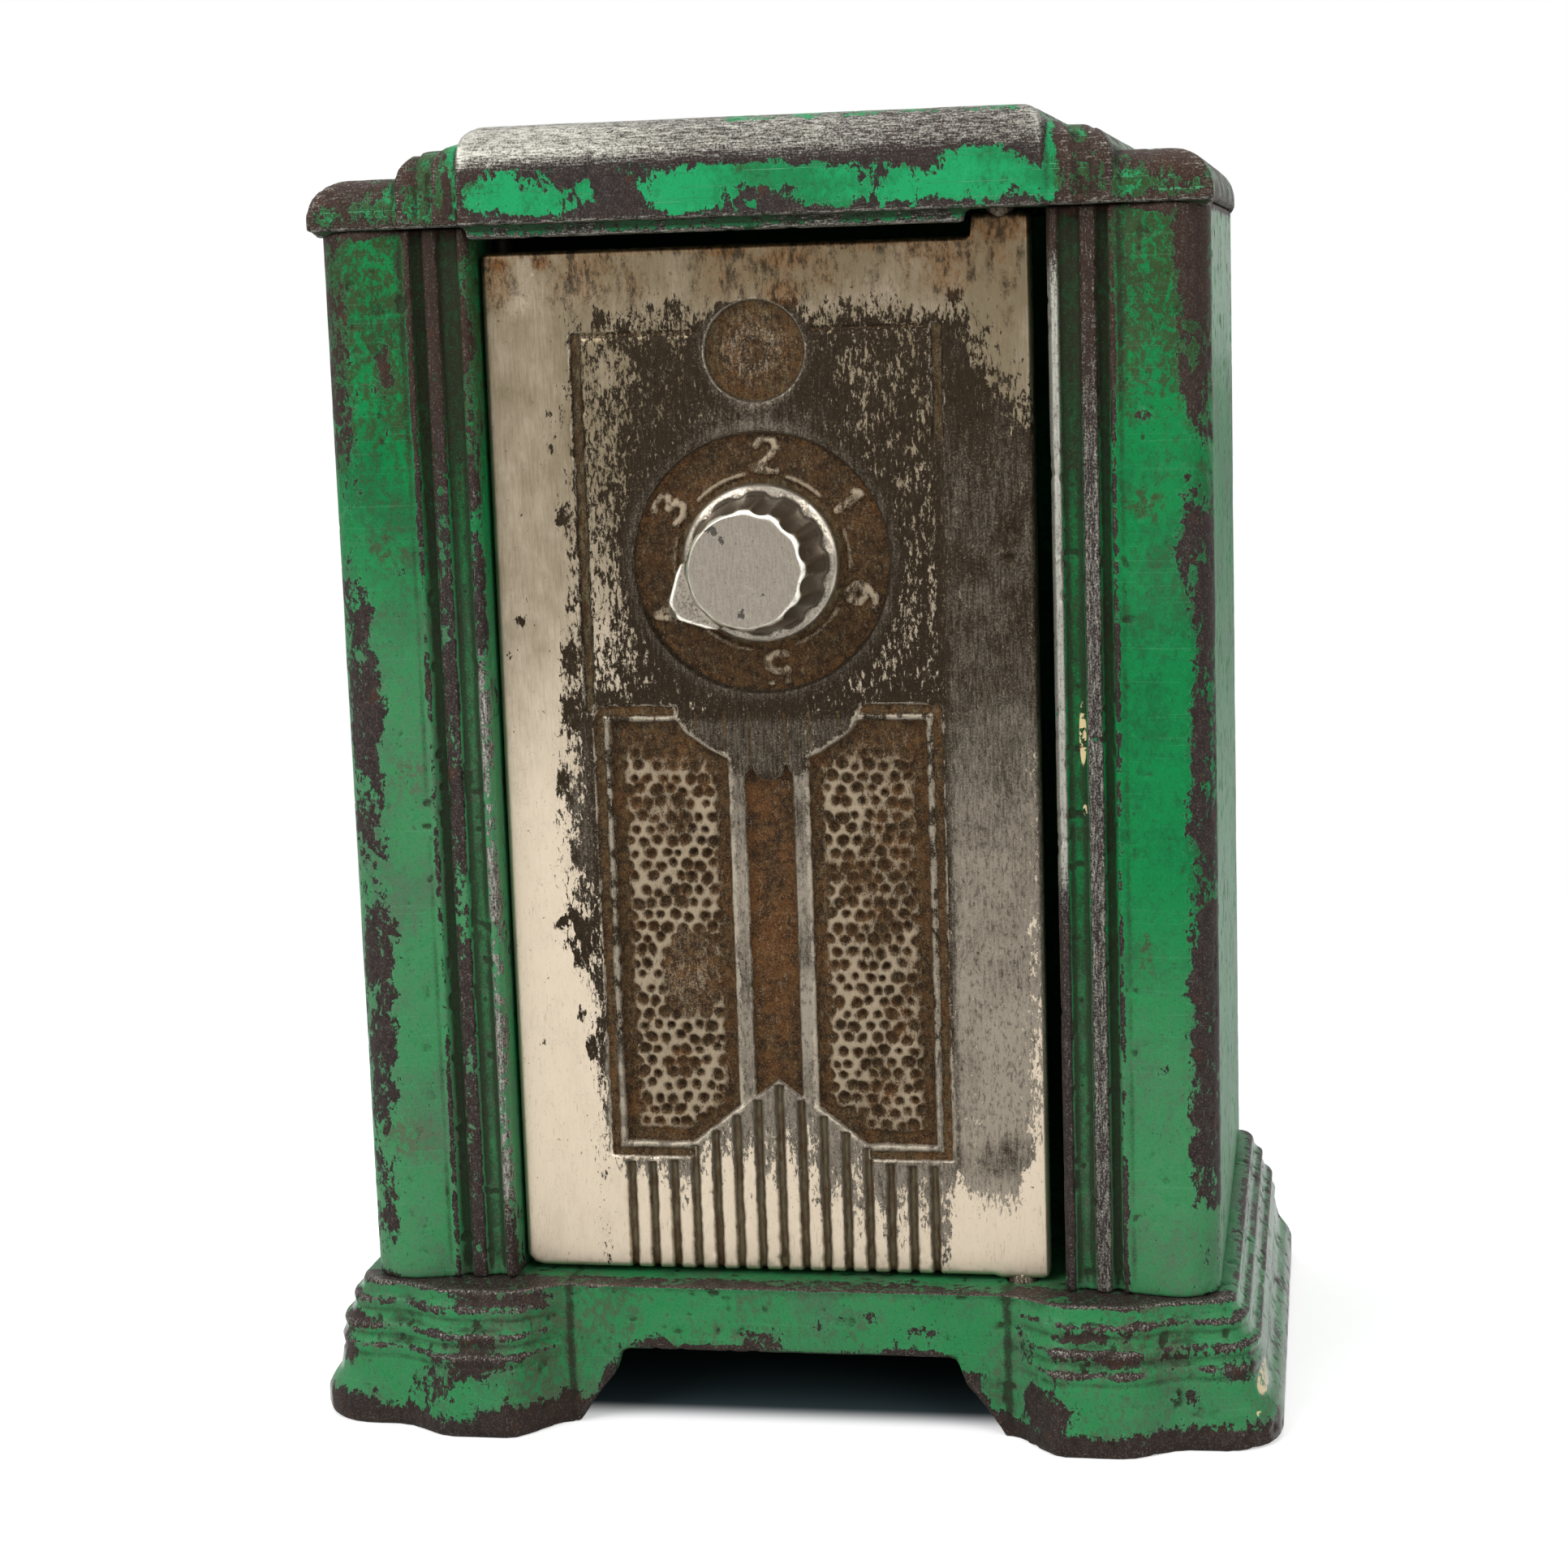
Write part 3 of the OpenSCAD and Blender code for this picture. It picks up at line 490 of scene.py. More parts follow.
def makeNickel(name, look):
    f = newFinish(name, look)
    plate, rust, tan, steel, net = f.masks("plate", "rust", "tan", "steel", "net")
    stain, edge, hollow, warm, olive = f.masks("stain", "edge", "hollow", "warm", "olive")
    flake = f.noise(3.4, 6, 0.76, (1.0, 1.0, 0.36), 0.3)
    broad = f.noise(0.75, 5, 0.65, (1.0, 1.0, 0.6), 0.3)
    hair = f.noise(6.0, 3, 0.65, (1.0, 1.0, 0.08))
    streaks = f.noise(1.3, 5, 0.7, (1.0, 1.0, 0.45))
    grain = f.noise(6.5, 4, 0.7)
    # plating flakes off along the brushing
    plated = (flake*1.3 + broad*0.4 + grain*0.25 + plate*0.62 - 0.31).step(-0.015, 0.025)
    silver = f.coats("plate",
        ((tan + hair*0.45 + broad*0.4).step(0.0, 1.05), "tarnish"),
        ((hair.step(-0.1, -0.22)*0.3).most(grain.step(0.1, 0.25)*0.3), "pit"))
    bare = f.coats("bare",
        ((steel + hair*0.7 + grain*0.9).step(0.06, 0.95), "grey"),
        (grain.step(0.04, 0.3)*0.28, "tarnish"),
        (f.noise(3.2, 5, 0.8, (1.0, 1.0, 0.4)).step(0.0, 0.12)*0.6, "dirt"))
    # rust in the sunk places
    brown = f.coats("rust",
        (f.noise(1.5, 5, 0.72).step(-0.16, 0.1), "rustDark"),
        ((f.noise(0.3, 6, 0.8) + grain*0.9 + warm*0.09).step(-0.04, 0.22)*0.6, "rustBright"),
        (grain.step(0.04, 0.26)*0.34, "net"))
    pits = 1 - f.noise(2.4, 4, 0.65, (1.0, 1.0, 0.7)).step(-0.215, -0.195)
    spotted = (stain*1.9 + grain*1.2 + streaks*2.4 - 0.34).step(0.0, 0.9)
    rusted = (rust*1.5 + grain*0.7 + flake*0.5 - 0.35).step(0.1, 0.6)
    crests = (net*1.15 + grain*1.6 + flake*2.8 + broad*0.6 - 0.05).step(0.1, 1.1)
    fouled = (olive*1.05 + grain*1.6 + flake*2.0 - 0.06).step(0.15, 1.0)
    # painted highlight: pale lines along the edges of the relief, from the edge mask
    edgeHighlight = (edge*1.1 + grain*1.3 + flake*1.3).step(0.4, 0.95)
    colour = f.coats(bare,
        (plated, silver),
        (pits*0.85, "pit"),
        (spotted*0.85, f.mix(streaks.step(-0.05, 0.1), "spot", "rustDark")),
        (rusted, brown),
        ((hollow + grain*0.5).step(0.2, 0.9)*0.48, "rustDark"),
        (crests*0.85, "net"),
        (fouled*0.8, f.mix(streaks.step(-0.08, 0.1), "olive", "rust")),
        (edgeHighlight*0.62, "line"))
    metallic = (1 - rusted*0.9 + crests*0.3).clamped()*f.blend(plated.most(edgeHighlight), 0.55, 0.92)
    rough = f.blend(rusted, f.blend(plated, 0.5, 0.38) + hair*0.12, 0.75)
    height = plated*0.3 - pits*0.5 + hair*0.1 + (grain + 0.5)*(rusted*0.35 + 0.1)
    return f.shine(height, 0.07, 0.8, Base_Color=colour, Roughness=rough, Metallic=metallic,
                   Specular_IOR_Level=0.12)


knobNickel = {
    "plate": (0.4, 0.355, 0.292),
    "dull": (0.22, 0.19, 0.15),
    # rim: near white, for the painted highlight on the knob's edges
    "rim": (0.95, 0.91, 0.8),
    "pit": (0.03, 0.026, 0.02),
    "soot": (0.075, 0.06, 0.038),
}


def makeKnobNickel(name, look):
    f = newFinish(name, look)
    edge, hollow, soot, spots = f.masks("edge", "hollow", "soot", "spots")
    hair = f.noise(7.0, 3, 0.6, (1.0, 1.0, 0.12))
    grain = f.noise(5.0, 4, 0.65)
    specks = 1 - f.noise(5.2, 2, 0.5).step(-0.215, -0.195)
    dark = (spots + f.noise(1.6, 5, 0.7)*1.4).step(0.38, 0.44).most(specks)
    dirty = (soot*1.1 + hollow*0.5 + grain*2.0 - edge*0.5 - 0.1).step(0.25, 0.85)
    colour = f.coats("plate",
        ((hair + grain).step(-0.2, 0.25)*0.6, "dull"),
        (dirty*0.85, "soot"),
        # painted highlight: the knob's edges turn the near-white rim colour
        ((edge*1.7 + grain*0.6).step(0.3, 0.85)*0.95, "rim"),
        (dark*0.9, "pit"))
    return f.shine(hair*0.08 - dark*0.5 + grain*0.05, 0.05, 0.7, Base_Color=colour,
                   Roughness=0.3 + hair*0.12 + dirty*0.25 + dark*0.3,
                   Metallic=(1 - dark*0.7)*(1 - dirty*0.35), Specular_IOR_Level=0.3)


# turned steel with a haze of rust, and the parts of the lock and the screws that are made of it
plainMetals = {
    "bright_steel": {
        "colour": (0.4, 0.385, 0.36), "dark": (0.16, 0.13, 0.1), "rough": 0.38,
        "nodes": ["hub_sleeve", "spring_washer", "front_spacer", "rear_spacer", "dial_spindle",
                  "drive_wheel", "front_tumbler", "rear_tumbler"],
    },
    "dark_steel": {
        "colour": (0.115, 0.1, 0.09), "dark": (0.055, 0.035, 0.024), "rough": 0.5,
        "nodes": ["tie_screws", "drive_peg", "front_peg", "rear_pegs", "spindle_nut"],
    },
}


def makePlainMetal(name, look):
    f = newFinish(name, look)
    haze = f.noise(0.5, 6, 0.6)
    grain = f.noise(6.0, 4, 0.6)
    turned = f.noise(4.0, 2, 0.5, (0.3, 6.0, 0.3))
    colour = f.mix((haze + grain*0.5).step(-0.08, 0.16), "colour", "dark")
    return f.shine(turned*0.5 + grain*0.3, 0.03, 0.6, Base_Color=colour, Roughness=look["rough"] + haze*0.4,
                   Metallic=0.9)


# base: spots are x, z, half width, half height, strength, seen from the front
base = {
    "voxel": 0.24, "soften": 3, "lumps": 0.1, "pits": 0.1, "faces": 195000,
    "ridges": [7.4, 9.2, 11.4], "ridgeHeight": 0.14, "trough": 0.95,  # each trough lies so far below
    "footFrom": 19.5, "sideFrom": 37, "deck": 12.2,
    "frontWear": [
        (-39.5, 1, 6, 3, 0.66), (-40.5, 6.5, 2, 2.4, 0.55), (-31, 4.6, 4, 3, 0.5),
        (-23, 1.5, 9, 2.6, 0.62), (-27, 7.5, 3.5, 3.5, 0.58), (-25, 12, 6, 0.9, 0.75),
        (-39, 9.4, 3.5, 0.9, 0.6), (-33, 11.3, 4, 0.8, 0.5), (20.8, 8.5, 2, 2.5, 0.52),
        (23, 3.2, 3.2, 3.6, 0.72), (36, 1, 14, 2, 0.66), (31, 8.4, 8, 0.8, 0.5), (27, 10.3, 5, 0.8, 0.5),
        (40, 7, 3, 2, 0.5), (35, 5, 3, 1.5, 0.4), (12, 9.3, 4, 1.4, 0.42), (-16.2, 4, 1.6, 4, 0.5),
        (16.6, 4, 1.6, 4, 0.5), (-2, 8.3, 3.2, 1.8, 0.62), (2.5, 9.5, 2.4, 1.6, 0.5),
        (-12, 8, 3, 1.3, 0.5), (7, 10.5, 6, 1.2, 0.42), (-6, 7.3, 9, 0.7, 0.5), (11, 7.3, 4, 0.9, 0.58),
    ],
    "primer": [(41.6, 5.4, 0.8, 1.6, 1.0), (41.2, 3.2, 0.3, 0.5, 0.8)],
}


def makeBase(look, finish):
    piece, p, n = castPiece("base", "baseCasting", look)
    x, y, z = p.T
    across = np.abs(x)
    # the mouldings of the feet stand out a little more than in the plain casting
    outward = (p[:, 0]*n[:, 0] + p[:, 1]*n[:, 1] > 0)*(np.abs(n[:, 2]) < 0.97)
    skirt = outward*above(z, 5.6, 1.0)*soft((12.6 - z)/0.5)
    skirt = skirt*soft(np.maximum(across - look["footFrom"], (across > look["sideFrom"])*5)/2)
    crests = strongest(*(near(z, at, 0.55) for at in look["ridges"]))*skirt
    troughs = strongest(*(near(z, at - look["trough"], 0.5) for at in look["ridges"]))*skirt
    shifted = (p + n*(look["ridgeHeight"]*(crests - troughs))[:, None])*mm
    setPoints(piece.data, np.clip(shifted, *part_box("base")))
    front = soft((-y - 18)/4)
    spots = blotches(x, z, look["frontWear"])*front
    rimWear = (0.44 + 0.3*below(z, 0, 2.2))*below(z, 1.2, 2.2)
    deckRim = 0.5*above(z, look["deck"], 0.6)*soft(n[:, 2])*soft((-y - 22)/1.5)
    sides = above(across, look["sideFrom"], 3)
    wear = strongest(spots, rimWear, deckRim, 0.4*crests, 0.3*sides*(1 - front)) + 0.07
    wear += 0.38*(fractal(p*(1, 1, 1.4), 4.5, 4, 21) - 0.5) + 0.05*above(across, 20, 2)*front
    # painted shade: downward faces, the creases between apron and feet and the troughs under the ridges are
    # darkened in the grime mask; the ridge crests are worn and rubbed bright, partly as a painted highlight
    underside = soft((-n[:, 2] - 0.2)/0.4)*(z > 1)
    creases = near(across, look["footFrom"] + 0.1, 0.45, 0.1)*soft(z/1.5)*front  # between apron and feet, painted shade in the crease
    grime = 0.24*above(z, 11.8, 1.0) + 0.8*underside + 0.6*creases + 0.5*troughs + 0.3*below(z, 0, 1.6)
    setMasks(piece.data, wear=wear, grime=grime + 0.15, rub=0.45*deckRim + 0.24*crests + 0.1,
             stain=0.22 + 0.6*(fractal(p, 6, 3, 31) - 0.5),
             primer=blotches(x, z, look["primer"])*front,
             # painted sheen: the base's paint is paled all over by the haze mask
             haze=0.62 + 0.9*(fractal(p, 7, 3, 35) - 0.5),
             polish=0.95*above(np.abs(n[:, 0]), 0.75, 0.15)*sides)
    finishPiece(piece, look, "case", finish, "base")


# stepped cap: rubbed bare along the top of its front, green left in patches below
cap = {
    "voxel": 0.27, "soften": 3, "lumps": 0.08, "pits": 0.08, "faces": 195000,
    "grooveAt": 28.5, "groove": 0.25,  # fine line along each step
    "crownHalf": 25.2, "rubbedFrom": 109.6, "lipTop": 106.1,
    "frontGreen": [
        (-20.8, 108.8, 6, 2.9, 0.5), (-17, 107.8, 4.2, 1.8, 0.56), (-23.4, 108.4, 2, 2.6, 0.5),
        (-13.6, 108.8, 1.2, 0.9, 0.45), (-9.6, 110.6, 1.6, 1.2, 0.3), (-8.6, 108.9, 0.9, 0.7, 0.4),
        (-4.8, 108.1, 4.3, 3.2, 0.78), (-2, 109.4, 3, 1.4, 0.6), (1.5, 109.5, 4.2, 1.4, 0.66),
        (7.6, 108.2, 4.6, 2.6, 0.74), (12.6, 108.2, 4.4, 2.2, 0.64), (20, 109.2, 4.8, 3, 0.78),
        (17.5, 108.4, 3, 2, 0.6), (23.9, 107.9, 2, 2.2, 0.6), (0.9, 106.9, 0.9, 0.5, 0.4),
        (5, 106.8, 1, 0.6, 0.35),
    ],
    "stepWear": [
        (-25.6, 109, 1.1, 5, 0.62), (-28.6, 110, 1.2, 3, 0.44), (26, 112, 1.5, 2, 0.5),
        (25.8, 108, 1, 2.4, 0.42), (29.9, 109.5, 0.8, 4, 0.55),
    ],
    "stains": [(-25.5, 109, 3.5, 3, 0.35), (36, 108, 4, 3, 0.3)],
}


def makeCap(look, finish):
    piece, p, n = castPiece("cap", "capCasting", look)
    x, y, z = p.T
    across = np.abs(x)
    lines = near(across, look["grooveAt"], 0.35, 0.05)*above(z, 106.5, 0.5)*soft((-y - 16)/2)
    setPoints(piece.data, (p - n*(look["groove"]*lines)[:, None])*mm)
    front = soft((-y - 20)/3)
    crown = soft((look["crownHalf"] - across)/0.6)
    ends = above(across, look["crownHalf"], 1.2)
    lip = below(z, look["lipTop"], 0.3)
    roof = above(n[:, 2], 0.8, 0.15)
    wide, small = (fractal(p*(1, 1, 1.2), *kind) - 0.5 for kind in ((6, 3, 3), (2.4, 4, 29)))
    bare = front*crown*(0.7 + 0.16*above(z - 1.6*wide, look["rubbedFrom"], 2.6))*(1 - lip)
    wear = bare - blotches(x, z, look["frontGreen"])*front
    wear = wear - 0.45*front*crown*above(z, 113.5, 0.4)*above(x, -6, 5)  # green left along the top edge
    wear = strongest(wear, (1 - front)*(0.3 + 0.16*above(z, 112, 1.5)), roof*0.32, 0.42*lip*front,
                     ends*(0.38 + 0.14*above(across, 30, 1.5)*above(z, 108, 2)),
                     blotches(x, z, look["stepWear"])*front)
    along = 0.8 + 0.2*soft((-x - 2)/16) - 0.1*above(x, 6, 8)
    rub = bare*(0.22 + 0.62*above(z, look["rubbedFrom"], 2.4))*along + 0.4*lip*front
    setMasks(piece.data, wear=wear + 0.04 + 0.4*small + 0.2*wide,
             rub=np.maximum(rub, (0.2 + 0.14*wide)*ends),
             # painted shade: the cap's downward faces are darkened, besides the darker ends, lip and groove
             # lines
             grime=0.05 + 0.24*ends + 0.5*soft((-n[:, 2] - 0.3)/0.3) + 0.45*lip + 0.5*lines,
             stain=0.06 + 0.56*ends + 0.25*roof + 0.5*small + blotches(x, z, look["stains"]))
    finishPiece(piece, look, "case", finish, "cap")


# sides: chips run along the outer corner, as heights and how far they reach
sides = {
    "voxel": 0.22, "soften": 2, "lumps": 0.07, "pits": 0.1, "faces": 195000,
    "beads": [26.1, 26.85], "bead": 0.13,
    # lines of the front, from the middle outwards
    "jamb": (24.4, 25.6), "beaded": (25.7, 27.2), "inValley": (25.6, 27.3), "broadRidge": (27.3, 28.7),
    "outValley": (28.7, 29.7), "outerRidge": (29.7, 30.35), "liningTo": 36.2,
    "left": {
        "band": [
            (13, 0.34), (18, 0.5), (24, 0.46), (26, 0.3), (30, 0.62), (36, 0.6), (38, 0.46), (42, 0.58),
            (47, 0.5), (50, 0.42), (55, 0.6), (62, 0.66), (70, 0.6), (74, 0.46), (80, 0.32), (86, 0.42),
            (92, 0.54), (100, 0.52), (106, 0.5),
        ],
        "bandAt": [(13, -36.8), (30, -36.0), (62, -35.8), (90, -36.6), (106, -36.8)],
        "bandWidth": 2.5, "lit": (16, 66),
        "wear": [(-31.8, 77, 1.6, 2.6, 0.44), (-32.6, 60, 1.4, 2.6, 0.4), (-32.4, 95, 2.0, 8, 0.34)],
        "ridges": (0.3, 0.34, 0.22),  # wear of the jamb, the broad ridge and the outer one
        "rub": (0.4, 0.00), "darkTop": 1.0, "sheenTo": 62,  # height that the pale painted sheen reaches
        "stains": [
            (-35, 99, 5, 9, 0.55), (-34, 26, 3.5, 2.6, 0.75), (-32.2, 59, 2.4, 2.6, 0.5),
            (-33, 79, 3, 3, 0.4),
        ],
        "primer": [],
    },
    "right": {
        "band": [
            (13, 0.22), (18, 0.32), (22, 0.44), (26, 0.62), (34, 0.66), (46, 0.6), (48, 0.5), (53, 0.58),
            (62, 0.6), (66, 0.54), (73, 0.6), (80, 0.5), (84, 0.32), (87, 0.58), (92, 0.58), (100, 0.7),
            (106, 0.8),
        ],
        "bandAt": [(13, 37.4), (40, 37.2), (70, 37.2), (90, 36.9), (106, 36.8)],
        "bandWidth": 2.2, "lit": (46, 98),
        "wear": [(33.2, 88.5, 2.0, 0.8, 0.55), (33.4, 33, 1.0, 1.6, 0.45)],
        "ridges": (0.66, 0.62, 0.26),
        "rub": (0.62, 0.26), "darkTop": 0.5, "sheenTo": 26,
        "stains": [
            (33, 102, 6, 5, 0.8), (31, 94, 4, 8, 0.4), (32.5, 81.5, 2.6, 2.4, 0.6),
            (32, 43, 0.8, 3.2, 0.7),
        ],
        "primer": [(26.9, 62, 0.45, 4.0, 1.0), (27.0, 55.5, 0.3, 0.8, 0.9)],
    },
}


def makeSide(node, look, wear, finish):
    piece, p, n = castPiece(node, node.replace("_side", "SideCasting"), look)
    x, y, z = p.T
    across = np.abs(x)
    front = soft((-y - 20)/2)
    jamb, beaded, inValley, broadRidge, outValley, outerRidge = (
        soft((across - look[line][0])/0.2 + 0.5)*soft((look[line][1] - across)/0.2 + 0.5)*front
        for line in ("jamb", "beaded", "inValley", "broadRidge", "outValley", "outerRidge"))
    beads = strongest(*(near(across, at, 0.34) for at in look["beads"]))*front*(y < -21)*beaded
    setPoints(piece.data, (p - np.outer(look["bead"]*beads, (0, 1, 0)))*mm)
    valleys = inValley*(1 - beads) + outValley
    top = above(z, 78, 24)
    patchy = fractal(p*(1, 1, 0.5), 4, 3, 27) - 0.5
    offset = np.abs(x - np.interp(z, *zip(*wear["bandAt"])) + 1.2*patchy)
    chips = 0.9*np.interp(z, *zip(*wear["band"]))*(1 - soft(offset/wear["bandWidth"] - 0.25))*front
    lines = (jamb, broadRidge, outerRidge)
    ridges = [share*line*(1 + 1.1*patchy) for share, line in zip(wear["ridges"], lines)]
    worn = strongest(chips, blotches(x, z, wear["wear"])*front, 0.5*above(z, 104.8, 0.9),
                     0.2*above(across, 34.5, 2), *ridges)
    worn += 0.05 + 0.46*(fractal(p*(1, 1, 0.6), 2.6, 4, 25) - 0.5)
    worn += 0.24*wear["darkTop"]*top*(broadRidge + outerRidge + valleys)
    lining = soft((look["liningTo"] - across)/0.6)*above(y, -17, 2)
    lit = jamb*above(z, wear["lit"][0], 6)*below(z, wear["lit"][1], 6)
    rub = 0.08 + wear["rub"][0]*lit + wear["rub"][1]*broadRidge*(1 - 0.7*top) + 0.12*chips
    dark = 0.42*top*front + 0.45*wear["darkTop"]*top*(broadRidge + valleys)
    stain = np.maximum(blotches(x, z, wear["stains"])*front, 0.1 + 0.6*top*(0.35 + 0.65*front)) + 0.22*valleys
    # painted sheen: the front turns pale below a wavy height, and the side faces pale, through the haze mask
    sheenNoise = fractal(p*(1, 1, 0.6), 8, 3, 37) - 0.5
    haze = below(z, wear["sheenTo"] - 22*sheenNoise, 26)*front + 0.42*(1 - front)
    setMasks(piece.data, wear=worn, rub=rub, grime=0.04 + dark + 0.3*valleys + 0.2*beads + 0.6*lining,
             stain=stain + 0.36*(fractal(p*(1, 1, 0.5), 7, 4, 41) - 0.5),
             primer=blotches(x, z, wear["primer"])*front,
             haze=haze + (0.8 + 0.9*(1 - front))*sheenNoise)
    finishPiece(piece, look, "case", finish, node)


# door: a relief drawn over a grid, in mm, with x from its middle line
door = {
    "middle": -0.6, "face": -22.0, "pitch": 0.155, "rim": 0.45, "faces": 188000,
    "rows": (13.5, 103.8),  # heights of the lowest and the highest row of the grid
    "rings": [(0, -21), (0, -19.7), (0.3, -19.4)],  # round the edge to the back, as inset and y
    "elsewhere": {"plate": 0.35, "steel": 0.35, "tan": 0.6, "rust": 0.3, "edge": 0.2},  # masks off the front
    "pinholes": [(21.2, 87.6, 0.55), (21.6, 79.0, 0.5), (21.4, 76.8, 0.4)],
    # the plate's upper and lower edge, with the ears for the pintles at its right end
    "upper": [
        (-23.65, 103.2), (-23.47, 103.62), (-23.05, 103.8), (18.2, 103.8), (18.6, 103.98), (18.75, 104.4),
        (18.85, 105.7), (23.05, 105.7), (23.47, 105.5), (23.65, 105.1),
    ],
    "lower": [
        (-23.65, 15), (-23.45, 14.25), (-22.9, 13.7), (-22.15, 13.5), (18.75, 13.5), (19.3, 13.3),
        (23.05, 13.3), (23.47, 13.5), (23.65, 13.9),
    ],
    "pintles": {"at": (20.55, -20.7), "radius": 1.25, "spans": [(10.3, 13.8), (105.2, 108.7)]},
    "dial": {"z": 76.8, "radius": 11.2, "depth": 0.8, "ring": 7.65, "numeralsAt": 9.25, "size": 1.95},
    "medal": {"z": 94.8, "radius": 4.3, "depth": 0.72},
    "frame": {"x": 15.6, "half": 0.42, "bottom": 63.9, "top": 96.7, "fades": 87.4, "depth": 0.4,
              "topFrom": 4.9, "topHeight": 0.35, "innerLine": (14.45, 65.0, 88.5)},
    "panel": {"from": 7.9, "depth": 0.9, "border": 0.38, "outer": 15.3, "ends": (23.9, 64.4), "land": 0.8,
              "corners": [
                  (3.6, 28.6), (7.9, 25.3), (13.9, 25.3), (13.9, 63), (7.9, 63), (7.55, 62.3), (7, 61.75),
                  (6.2, 61.2), (5, 60.4), (3.6, 59.7),
              ],
              "crestLine": [
                  (8.3, 64.6), (8.05, 63.6), (7.65, 62.65), (7.1, 62), (6.2, 61.4), (5, 60.65),
                  (3.8, 59.95),
              ]},
    "pits": {"spacing": 1.27, "radius": 0.21, "wall": 0.44, "height": 0.55, "margin": 0.65,
             "patchAt": (-7.4, 40.5), "patchSize": (2.9, 4.2)},  # where they are worn away
    "crest": {"z": 59.2, "lobe": 1.4, "sideLobe": (2.65, 0.95), "depth": 0.22,
              "lines": [(1.55, 59.2), (3.75, 60.5), (6.3, 62.4)]},
    "channel": 2.1, "strip": 3.6,
    "ribs": {"count": 15, "pitch": 1.95, "half": 0.33, "depth": 0.72, "foot": 23.3, "rise": 7.2, "run": 10.0},
}

# strokes of the numbers on the dial, in a box 1 wide and 1.5 high, and their places in degrees
numerals = {
    1: (33, [(0.25, 1.2), (0.5, 1.5), (0.5, 0)]),
    2: (86, [(0.05, 1.15), (0.2, 1.42), (0.5, 1.5), (0.82, 1.4), (0.92, 1.1), (0.75, 0.75), (0.05, 0),
             (0.95, 0)]),
    3: (149, [(0.08, 1.4), (0.5, 1.5), (0.85, 1.35), (0.88, 1.0), (0.45, 0.8), (0.9, 0.6), (0.9, 0.2),
              (0.5, 0), (0.05, 0.12)]),
    4: (208, [(0.75, 0), (0.75, 1.5), (0.05, 0.45), (1.0, 0.45)]),
    5: (277, [(0.88, 1.5), (0.18, 1.5), (0.12, 0.85), (0.55, 0.92), (0.9, 0.68), (0.9, 0.25), (0.5, 0),
              (0.05, 0.12)]),
    6: (341, [(0.85, 1.45), (0.4, 1.3), (0.1, 0.8), (0.1, 0.25), (0.5, 0), (0.9, 0.25), (0.85, 0.68),
              (0.5, 0.85), (0.14, 0.6)]),
}


def pitDistance(x, z, spacing, seed):
    # distance in mm to the nearest of many scattered points in staggered rows
    rowSpacing, scatter = spacing*0.87, 0.36
    gz = z/rowSpacing
    nearest = np.full(x.shape, farOff)
    for oz in (-1, 0, 1):
        iz = np.floor(gz).astype(int) + oz
        gx = x/spacing - 0.5*(iz % 2)
        for ox in (-1, 0, 1):
            ix = np.floor(gx).astype(int) + ox
            key = ix*hashPrimes[0] ^ iz*hashPrimes[1] ^ seed
            jx, jz = (0.5 + (randomAt(key >> shift) - 0.5)*scatter for shift in (0, 3))
            distance = np.hypot((gx - ix - jx)*spacing, (gz - iz - jz)*rowSpacing)
            nearest = np.minimum(nearest, distance + 0.26*(randomAt(key >> 6) - 0.4))
    return nearest


def rimOf(distance, width=0.17):
    # a thin line along the edge of a sunk shape
    return near(distance, 0.08, width, 0.04)


def most(layers, **values):
    for name, value in values.items():
        layers[name] = np.maximum(layers[name], value)


def numeralStrokes(x, z, look):
    # distance to the raised numbers round the dial
    stroke = np.full(x.shape, farOff)
    for clock, line in numerals.values():
        a = math.radians(clock)
        fromX, fromZ = x - look["numeralsAt"]*math.cos(a), z - look["z"] - look["numeralsAt"]*math.sin(a)
        across = fromX*math.sin(a) - fromZ*math.cos(a)
        along = fromX*math.cos(a) + fromZ*math.sin(a)
        here = (np.abs(across) < 2.2) & (np.abs(along) < 2.2)
        corners = [((u - 0.5)*look["size"], (v - 0.75)*look["size"]*0.92) for u, v in line]
        stroke[here] = np.minimum(stroke[here], strokeDistance(across[here], along[here], corners))
    return stroke


def dialRelief(x, z, look, layers):
    fromZ = z - look["z"]
    radius = np.hypot(x, fromZ)
    bits = faceNoise(x, z, 0.9, 3, 53)
    number = below(numeralStrokes(x, z, look) + 0.4*(bits - 0.5), 0.17, 0.34)*above(bits, 0.27, 0.16)
    # the ring between the numbers
    angle = np.degrees(np.arctan2(fromZ, x)) % 360
    gap = np.minimum.reduce([np.abs((angle - clock + 180) % 360 - 180) for clock, line in numerals.values()])
    ring = near(radius, look["ring"], 0.22, 0.06)*above(gap, 11, 4)
    inside = soft((look["radius"] - 0.3 - radius)/0.3)
    toEdge = radius - look["radius"]
    # painted highlight: the ring between the numbers is paler on its upper half, and the dial's rim line
    # brighter towards the upper left
    pale = (0.45 + 0.45*soft(fromZ/5))*ring + 0.52*number + 0.6*number*above(bits, 0.52, 0.08)
    most(layers, depth=sunk(toEdge, look["depth"], 0.35) - np.maximum(0.4*number, 0.3*ring)*inside,
         rust=sunk(toEdge + 0.1, 1.0, 0.4)*(1 - 0.55*number), net=pale*inside,
         edge=(0.24 + 0.4*soft((fromZ - x)/12))*rimOf(toEdge, 0.12),
         olive=0.32*inside*(1 - number) + 0.3*inside*soft((look["ring"] - 0.3 - radius)/0.3))
    return radius


